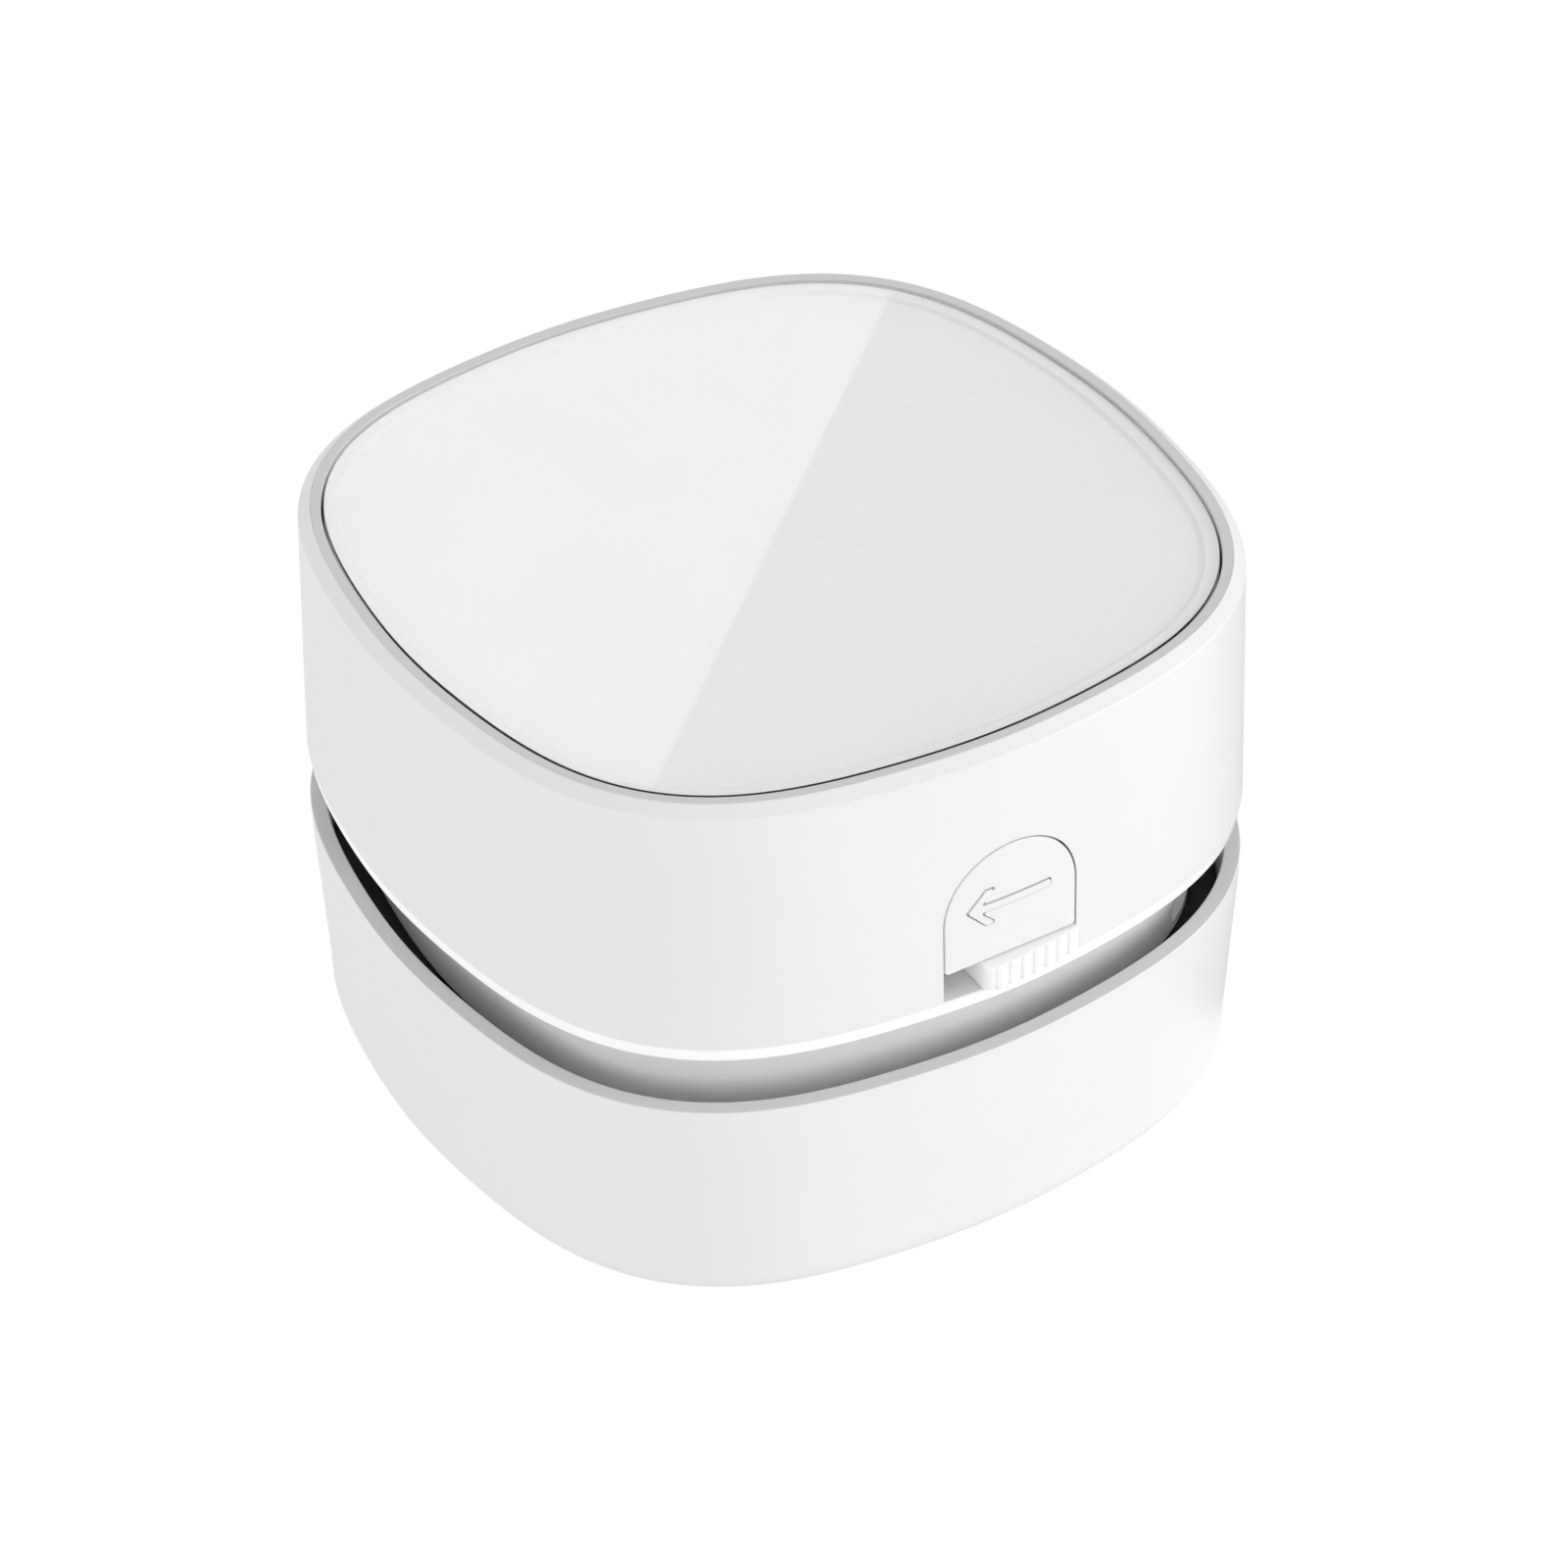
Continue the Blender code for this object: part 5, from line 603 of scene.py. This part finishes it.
def tray():
    """White tray under the panel: flange, rim that the panel lies on, sunken floor with a rounded corner,
    and guide posts."""
    profile = rounded([(-12.0, 53.55), (-0.75, 53.55, 0.2), (-0.75, 54.95, 0.2), (-1.24, 54.95),
                       (-1.24, 58.5, 0.03), (-2.6, 58.5, 0.2), (-2.9, 58.2, 0.15), (-12.0, 58.2)],
                      closed=False)
    post = [(1.0, 49.65), (1.3, 49.95), (1.3, 53.7)]
    posts = [loft(circle_rings(post, 32, on_circle(SPRING_CIRCLE, degrees)), caps=True) for degrees in SIDES]
    return joined(loft(outline_rings(profile), caps=True), *posts)


built("tray_white", tray(), "power_plate", ABS_TRAY, ("panel_tray",))


# Latch: cover plate, arrow and slider.

def cover_plate():
    """Arched plate: its outline is drawn in to its middle over the wall's own curve, its edge rolled over
    by a small arc, then carried back through the wall to a flat rear flange."""
    foot_z, flange_z, roll = 35.5, 36.7, 0.12
    line = arch(7.15, foot_z)
    line = rounded([(x, z, 0.35 if k < 2 else 0.0) for k, (x, z) in enumerate(line)], steps=5)
    middle = np.array([0.0, 42.0])
    spokes = line - middle
    length = np.linalg.norm(spokes, axis=1, keepdims=True)
    rings = []
    for share in np.linspace(0.04, 0.96, 24):
        plan = middle + spokes * share
        rings.append(np.column_stack([plan[:, 0], front_y(plan[:, 0], plan[:, 1]), plan[:, 1]]))
    for turn in np.linspace(0, math.pi / 2, 6):
        plan = middle + spokes * (1 - roll * (1 - math.sin(turn)) / length)
        sink = roll * (1 - math.cos(turn))
        rings.append(np.column_stack([plan[:, 0], front_y(plan[:, 0], plan[:, 1], sink), plan[:, 1]]))
    for inset, grow in ((2.1, 0.0), (2.1, 0.45), (3.1, 0.45)):
        plan = middle + spokes * (1 + grow / length)
        plan[:, 1] = np.maximum(plan[:, 1], flange_z if grow else foot_z)
        rings.append(np.column_stack([plan[:, 0], front_y(plan[:, 0], plan[:, 1], inset), plan[:, 1]]))
    return loft(np.array(rings), caps=True)


def arrow_line(spread):
    """Outline in X and Z of a plain stroke arrow that shows which way the lip slides: a shaft and an open
    head of even strokes, each widened by the spread."""
    tip, tail, z = -4.3, 4.2 + spread, 41.75
    half, reach, tall = 0.36 + spread, 1.9 + spread, 1.95 + spread
    slant = half * math.sqrt(2)
    neck = tip + 1.87 * half
    corners = [(tip - slant, z, 0.2), (tip - slant + reach, z - tall, 0.25),
               (tip + slant + reach, z - tall, 0.25), (neck, z - half, 0.2), (tail, z - half, 0.3),
               (tail, z + half, 0.3), (neck, z + half, 0.2), (tip + slant + reach, z + tall, 0.25),
               (tip - slant + reach, z + tall, 0.25)]
    return rounded(corners, steps=5)


def wall_patch(outer, inner):
    """Slab that follows the wall's curve behind the arrow, between two insets from its face."""
    x = np.linspace(-6.0, 6.0, 49)
    rings = []
    for z in np.linspace(38.5, 45.5, 29):
        face = np.column_stack([x, front_y(x, z, outer), np.full(49, z)])
        back = np.column_stack([x, front_y(x, z, inner), np.full(49, z)])
        rings.append(np.vstack([face, back[::-1]]))
    return mesh_of("wall_patch", loft(np.array(rings), caps=True))


def arrow_shape(name, spread, outer, inner):
    """The arrow cut from the slab between two insets of the wall."""
    shape = mesh_of(name, upright(arrow_line(spread), -46.0, -38.0))
    return combined(shape, [wall_patch(outer, inner)], "INTERSECT")


# The arrow stands a little proud inside a fine moulded groove.
plate = mesh_of("cover_arch", cover_plate())
combined(plate, [arrow_shape("arrow_cut", 0.16, -0.5, 0.45)], "DIFFERENCE")
finished(plate, "upper_unit", ABS_SHELL, ("latch_cover_plate",))
finished(arrow_shape("slide_arrow", 0.0, -0.12, 0.5), "upper_unit", ABS_SHELL)


def release_slider():
    """Slider: a lip whose front follows the wall and stands a little less proud to the right. Narrow grooves,
    each a bell of the fourth power across it, part it into flat ribs. Its left end turns back by a quarter
    ellipse, its right end by a small one. A stem runs through the slot to the carriage, and the leg with its
    tooth hangs from that."""
    low, high, count = -3.3, 7.3, 280
    x = np.linspace(low, high, count)
    proud = 1.1 - 0.055 * (x + 2.0)
    groove = np.exp(-((x[:, None] - np.linspace(-2.25, 6.05, 7)) / 0.22) ** 4).sum(1)
    left, right = np.clip(1 - (x - low) / 1.5, 0, 1), np.clip(1 - (high - x) / 0.4, 0, 1)
    ends = proud * (1 - np.sqrt(1 - left ** 2)) + 0.3 * (1 - np.sqrt(1 - right ** 2))
    levels = [(0.10, 32.57, 0.0), (0.0, 32.65, 0.45), (0.0, 34.7, 0.45), (0.0, 35.0, 0.42),
              (0.02, 35.12, 0.34), (0.08, 35.24, 0.24), (0.2, 35.32, 0.12), (0.5, 35.34, 0.0)]
    rings = []
    for inset, z, depth in levels:
        y = front_y(x, 34.0) - proud + inset + ends + groove * depth
        front = np.column_stack([x, y, np.full(count, z)])
        back = np.column_stack([np.linspace(high, low, 40), np.full((40, 2), (SILL_FRONT, z))])
        rings.append(np.vstack([front, back]))
    lip = loft(np.array(rings), caps=True)
    stem = prism(rounded_rectangle(-3.28, 6.46, -42.0, -38.5, 0.05), 32.6, 35.28, 0.05)
    carriage = prism(rounded_rectangle(-7.92, 11.08, -38.74, CARRIAGE_BACK, 0.4), 32.58, 36.4, 0.1)
    hook = rounded([(-36.64, 14.1, 0.2), (-33.14, 14.1, 0.4), (-33.14, 36.2, 0.3), (-37.3, 36.2),
                    (-37.3, 35.1), (-34.64, 35.1, 0.4), (-34.64, 15.3, 0.3), (-36.64, 15.3, 0.2)])
    points, faces = prism(hook, 0.08, 3.08, 0.15)
    leg = (points[:, [2, 0, 1]], faces)
    return joined(lip, stem, carriage, leg)


built("slider_lip", release_slider(), "release_slider", ABS_SLIDER, ("release_slider",),
      sharp=40.0)


# Springs.

def coil(radius, wire, turns, length):
    """Compression spring from zero up to its length: a helix of round wire whose pitch fades to nothing over
    the first and last turn, so the end coils lie flat."""
    share = np.linspace(0, 1, turns * 28 + 1)
    around = share * turns
    pitch = np.clip(np.minimum(around, turns - around), 0, 1) ** 0.7
    rise = np.concatenate([[0.0], np.cumsum((pitch[1:] + pitch[:-1]) / 2)])
    height = wire + rise / rise[-1] * (length - 2 * wire)
    angle = 2 * math.pi * around[:, None]
    side = full_turn(12)[None, :]
    reach = radius + wire * np.cos(side)
    tall = height[:, None] + wire * np.sin(side)
    return loft(np.stack([reach * np.cos(angle), reach * np.sin(angle), tall], -1), caps=True)


for number, degrees in enumerate(SIDES, 1):
    place = (*on_circle(SPRING_CIRCLE, degrees), 50.5)
    spring = built(f"plate_coil_{number}", moved(coil(2.2, 0.25, 4, 2.75), place), "upper_unit",
                   SPRING_WIRE, (f"plate_spring_{number}",))
    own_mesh(spring)
spring = built("latch_coil", moved(swung(coil(0.9, 0.2, 7, 6.4), 90.0, "y"), (-14.62, -37.54, 34.6)),
               "upper_unit", SPRING_WIRE, ("latch_spring",))
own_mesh(spring)


# Neck, seal and filter.

def neck():
    """Recessed tub: wall, flange and floor as one closed profile that passes from the plan outline to the
    round filter pocket."""
    outer = rounded([(-3.4, 19.5), (-2.6, 19.5, 0.3), (-2.6, 31.3, 0.3), (0.04, 31.3, 0.1), (0.26, 32.5, 0.1),
                     (-4.2, 32.5, 0.2), (-4.2, 20.7, 0.8), (-7.0, 20.7)], closed=False)
    pocket = rounded([(30.0, 20.7), (27.2, 20.7, 0.5), (27.2, 23.6, 0.3), (26.0, 23.6, 0.2),
                      (26.0, 19.5, 0.3), (29.0, 19.5)], closed=False)
    return loft(np.concatenate([outline_rings(outer), circle_rings(pocket, FINE)]), closed=True)


def window_cut(start, end):
    """Wedge of the neck wall between two plan angles, where the exhaust air leaves."""
    angles = np.radians(np.linspace(start, end, 40))
    line = np.vstack([outline(np.full(40, -1.2), angles), outline(np.full(40, -4.6), angles)[::-1]])
    return prism(line, 20.7, 30.3)


tub = mesh_of("neck_tub", neck())
leg_slot = prism(rounded_rectangle(-3.72, 3.38, -36.94, -34.84, 0.3), 19.0, 21.2)
sockets = [loft(circle_rings([(2.6, 19.0), (2.6, 21.2)], 40, on_circle(SCREW_CIRCLE, degrees)), caps=True)
           for degrees in CORNERS]
combined(tub, [mesh_of("window_a", window_cut(308.0, 344.0)), mesh_of("window_b", window_cut(122.0, 159.0)),
               mesh_of("leg_slot", leg_slot), mesh_of("sockets", joined(*sockets))], "DIFFERENCE")

# Posts for the chassis screws and bosses for the two screws of the fan cover.
post = [(1.3, 28.9), (2.2, 28.9), (2.2, 19.7), (3.0, 19.7), (3.2, 19.9), (3.2, 32.5), (1.3, 32.5)]
fan_boss = [(1.1, 23.6), (1.1, 20.8), (2.3, 20.8), (2.5, 21.0), (2.5, 23.6)]
posts = [loft(circle_rings(post, 40, on_circle(SCREW_CIRCLE, degrees)), closed=True) for degrees in CORNERS]
posts += [loft(circle_rings(fan_boss, 40, on_circle(FAN_CIRCLE, degrees)), closed=True)
          for degrees in (4.0, 184.0)]
built("neck_posts", joined(*posts), "upper_unit", ABS_NECK)
finished(tub, "upper_unit", ABS_NECK, ("neck_frame",))

seal = rounded([(0.05, 17.7, 0.3), (0.2, 18.3, 0.2), (0.1, 19.2, 0.3), (-5.2, 19.2, 0.3), (-5.2, 17.7, 0.4)])
built("seal_ring", loft(outline_rings(seal), closed=True), "upper_unit", RUBBER_SEAL,
      ("bin_seal",))


def filter_frame():
    """Filter frame: turned ring with its flange, a cross of bars and a pull tab."""
    ring = rounded([(24.2, 18.2, 0.2), (28.0, 18.2, 0.3), (28.0, 19.2, 0.2), (25.7, 19.2, 0.1),
                    (25.7, 23.3, 0.3), (24.2, 23.3, 0.3)])
    bars = [prism(rounded_rectangle(-24.4, 24.4, -0.8, 0.8, 0.1), 19.2, 20.2, 0.15),
            prism(rounded_rectangle(-0.8, 0.8, -24.4, 24.4, 0.1), 19.22, 20.18, 0.15),
            prism(rounded_rectangle(-24.4, -20.2, -1.6, 1.6, 0.4), 17.8, 19.4, 0.2)]
    return joined(loft(circle_rings(ring, 144), closed=True), *bars)


def filter_paper():
    """Pleated sheet inside the frame: height is a triangle wave along X, and each pleat's run along Y ends
    on the frame's inner circle."""
    rows, count = 25, 337
    circle, pleat, tall, middle, half_thick = 23.85, 3.4, 0.95, 21.9, 0.4
    x = np.linspace(-23.7, 23.7, count)
    half = np.sqrt(np.clip(circle ** 2 - x ** 2, 0.4, None))
    wave = middle + tall * (2 / math.pi) * np.arcsin(np.sin(2 * math.pi * x / pleat))
    share = np.linspace(-1, 1, rows)
    grid = np.arange(rows * count).reshape(rows, count)
    quads = np.stack([grid[:-1, :-1], grid[:-1, 1:], grid[1:, 1:], grid[1:, :-1]], -1).reshape(-1, 4).tolist()
    parts, edges = [], []
    for lift in (-half_thick, half_thick):
        sheet = np.dstack([np.broadcast_to(x, (rows, count)), share[:, None] * half,
                           np.broadcast_to(wave + lift, (rows, count))])
        parts.append((sheet.reshape(-1, 3), quads))
        edges.append(np.vstack([sheet[0], sheet[1:, -1], sheet[-1, ::-1][1:], sheet[::-1, 0][1:-1]]))
    return joined(*parts, loft(np.array(edges)))


built("filter_ring", filter_frame(), "upper_unit", POLYPROPYLENE, ("filter_frame",))
built("filter_pleats", filter_paper(), "upper_unit", PAPER, ("filter_media",))


# Charging socket.

def charging_socket():
    """Socket shell: a thin stadium tube with rolled edges, and the tongue inside it."""
    height = 45.6

    def ring(half, tall, y):
        line = rounded_rectangle(-half, half, -tall / 2, tall / 2, tall / 2 - 0.01, steps=14)
        return np.column_stack([line[:, 0], np.full(len(line), y), height + line[:, 1]])

    mouth = float(-front_y(0.0, height)) - 0.9
    rings = [ring(4.5, 3.2, mouth - 7.4), ring(4.5, 3.2, mouth - 0.12), ring(4.42, 3.04, mouth),
             ring(4.23, 2.66, mouth), ring(4.15, 2.5, mouth - 0.12), ring(4.15, 2.5, mouth - 6.0)]
    tube = loft(np.array(rings), caps=True)
    tongue = prism(rounded_rectangle(-3.3, 3.3, mouth - 6.1, mouth - 1.2, 0.3), 45.25, 45.95, 0.1)
    return joined(tube, tongue)


built("socket_shell", charging_socket(), "upper_unit", NICKEL, ("usb_socket",))


# Floor, light and camera.

def light_paths(tree):
    """One where a ray comes straight from the camera, a mirror or clear plastic, and zero elsewhere."""
    path = add(tree, "ShaderNodeLightPath")
    first = add(tree, "ShaderNodeMath", None,
                {0: path.outputs["Is Camera Ray"], 1: path.outputs["Is Glossy Ray"]}, operation="MAXIMUM")
    return add(tree, "ShaderNodeMath", None, {0: first.outputs[0], 1: path.outputs["Is Transmission Ray"]},
               operation="MAXIMUM").outputs[0]


def flat(x0, x1, y0, y1, z):
    """One level rectangle."""
    return [(x0, y0, z), (x1, y0, z), (x1, y1, z), (x0, y1, z)], [[0, 1, 2, 3]]


def mirror_only(card):
    """Stages a card that only mirrors see."""
    card.visible_camera = card.visible_diffuse = card.visible_shadow = card.visible_transmission = False


def floor():
    """White table. The eye and mirrors see a glow with a faint matt share that carries the object's shadow;
    the object is lit by another, weaker glow."""
    made = mesh_of("floor", flat(-4000.0, 4000.0, -4000.0, 4000.0, 0.0))
    material = bpy.data.materials.new("table white")
    material.use_nodes = True
    tree = material.node_tree
    tree.nodes.clear()
    parts = []
    for shade, glow in ((FLOOR_SHADE, FLOOR_GLOW), (FLOOR_BOUNCE, FLOOR_LIGHT)):
        matt = add(tree, "ShaderNodeBsdfDiffuse", {"Color": (shade, shade, shade, 1.0)})
        bright = add(tree, "ShaderNodeEmission", {"Strength": glow})
        parts.append(add(tree, "ShaderNodeAddShader", None, {0: matt.outputs[0], 1: bright.outputs[0]}))
    mixed = add(tree, "ShaderNodeMixShader", None, {0: light_paths(tree), 1: parts[1].outputs[0],
                                                    2: parts[0].outputs[0]})
    add(tree, "ShaderNodeOutputMaterial", None, {"Surface": mixed.outputs[0]})
    made.data.materials.append(material)


def bounced(x, y, distance):
    """Where the camera's ray that meets the panel at x, y ends, this far behind its bounce."""
    eye = EYE * (1, 1, -1) + (0, 0, 2 * PANEL_TOP)
    away = np.array([x, y, PANEL_TOP]) - eye
    return eye + away * (1 + distance / np.linalg.norm(away))


def cards():
    """Two white cards behind the part that only mirrors see. They meet on the line that the camera sees run
    over the panel, and give its two tones."""
    distance, beyond, width = 1200.0, 40.0, 90.0
    near, far = np.array(SPLIT_NEAR), np.array(SPLIT_FAR)
    along = (far - near) / np.linalg.norm(far - near)
    left = np.array([-along[1], along[0]])
    low, high = near - beyond * along, far + beyond * along
    for name, side, strength in (("card_left", width, CARD_LEFT), ("card_right", -width, CARD_RIGHT)):
        corners = [bounced(*place, distance) for place in (low, high, high + side * left, low + side * left)]
        card = mesh_of(name, (np.array(corners), [[0, 1, 2, 3]]))
        material = bpy.data.materials.new(name)
        material.use_nodes = True
        tree = material.node_tree
        tree.nodes.clear()
        glow = add(tree, "ShaderNodeEmission", {"Strength": strength})
        add(tree, "ShaderNodeOutputMaterial", None, {"Surface": glow.outputs[0]})
        card.data.materials.append(material)
        mirror_only(card)


def flag():
    """Black card flat on the table to the right, seen only by glossy rays: the wall's right-hand edge mirrors
    it instead of the white table and so stands out against the background."""
    card = mesh_of("flag", flat(39.5, 260.0, -60.0, 200.0, 0.5))
    material = bpy.data.materials.new("flag black")
    material.use_nodes = True
    material.node_tree.nodes["Principled BSDF"].inputs["Base Color"].default_value = linear("080808")
    card.data.materials.append(material)
    mirror_only(card)


def sky():
    """Soft studio light all round: brighter near the horizon than overhead, light grey to mirrors and clear
    plastic, and white to the camera."""
    world = bpy.data.worlds.new("studio")
    bpy.context.scene.world = world
    world.use_nodes = True
    tree = world.node_tree
    tree.nodes.clear()
    direction = add(tree, "ShaderNodeTexCoord").outputs["Generated"]
    height = add(tree, "ShaderNodeSeparateXYZ", None, {0: direction}).outputs["Z"]
    level = add(tree, "ShaderNodeMapRange",
                {"From Min": 0.0, "From Max": 0.8, "To Min": SKY_LOW, "To Max": SKY_HIGH}, {"Value": height})
    soft = add(tree, "ShaderNodeBackground", {"Color": SKY_COLOUR}, {"Strength": level.outputs["Result"]})
    grey = add(tree, "ShaderNodeBackground", {"Color": SKY_COLOUR, "Strength": 1.0})
    mixed = add(tree, "ShaderNodeMixShader", None,
                {0: light_paths(tree), 1: soft.outputs[0], 2: grey.outputs[0]})
    backdrop = add(tree, "ShaderNodeBackground", {"Color": (1.0, 1.0, 1.0, 1.0), "Strength": 1.0})
    seen = add(tree, "ShaderNodeLightPath").outputs["Is Camera Ray"]
    mixed = add(tree, "ShaderNodeMixShader", None, {0: seen, 1: mixed.outputs[0], 2: backdrop.outputs[0]})
    add(tree, "ShaderNodeOutputWorld", None, {"Surface": mixed.outputs[0]})


def lamp(name, place, power):
    """Square area lamp at a place in millimetres that faces the part's middle."""
    data = bpy.data.lights.new(name, "AREA")
    data.size = LAMP_SIZE * MM
    data.energy = power
    made = bpy.data.objects.new(name, data)
    bpy.context.scene.collection.objects.link(made)
    made.location = np.array(place) * MM
    away = np.array(LAMP_AIM) - np.array(place)
    level = math.hypot(away[0], away[1])
    made.rotation_euler = (math.atan2(level, -away[2]), 0.0, math.atan2(away[1], away[0]) - math.pi / 2)


# Sky: its colour, and its strength at the horizon and overhead.
SKY_COLOUR = (0.8, 0.8, 0.8, 1.0)
SKY_LOW, SKY_HIGH = 1.55, 0.76
# Table: matt share and glow as they are seen, then as they light the part.
FLOOR_SHADE, FLOOR_GLOW = 0.1, 0.94
FLOOR_BOUNCE, FLOOR_LIGHT = 0.5, 0.3
# Strengths of the two cards, and the lamps: watts, side and aim in millimetres.
CARD_LEFT, CARD_RIGHT = 2.05, 0.98
LAMP_LEFT, LAMP_RIGHT = 0.72, 1.9
LAMP_SIZE, LAMP_AIM = 420.0, (0.0, 0.0, 30.0)
floor()
sky()
cards()
flag()
lamp("lamp_left", (-620.0, -350.0, 200.0), LAMP_LEFT)
lamp("lamp_right", (520.0, -440.0, 200.0), LAMP_RIGHT)


def camera():
    """Camera of the picture."""
    data = bpy.data.cameras.new("camera")
    data.sensor_width, data.lens, data.clip_start = SENSOR, FOCAL_LENGTH, 0.01
    made = bpy.data.objects.new("camera", data)
    bpy.context.scene.collection.objects.link(made)
    made.location = EYE * MM
    made.rotation_mode = "QUATERNION"
    look = Vector(AIM - EYE).to_track_quat("-Z", "Y")
    made.rotation_quaternion = look @ Quaternion((0, 0, 1), math.radians(ROLL))
    bpy.context.scene.camera = made


camera()
bpy.context.scene.view_settings.view_transform = "Standard"
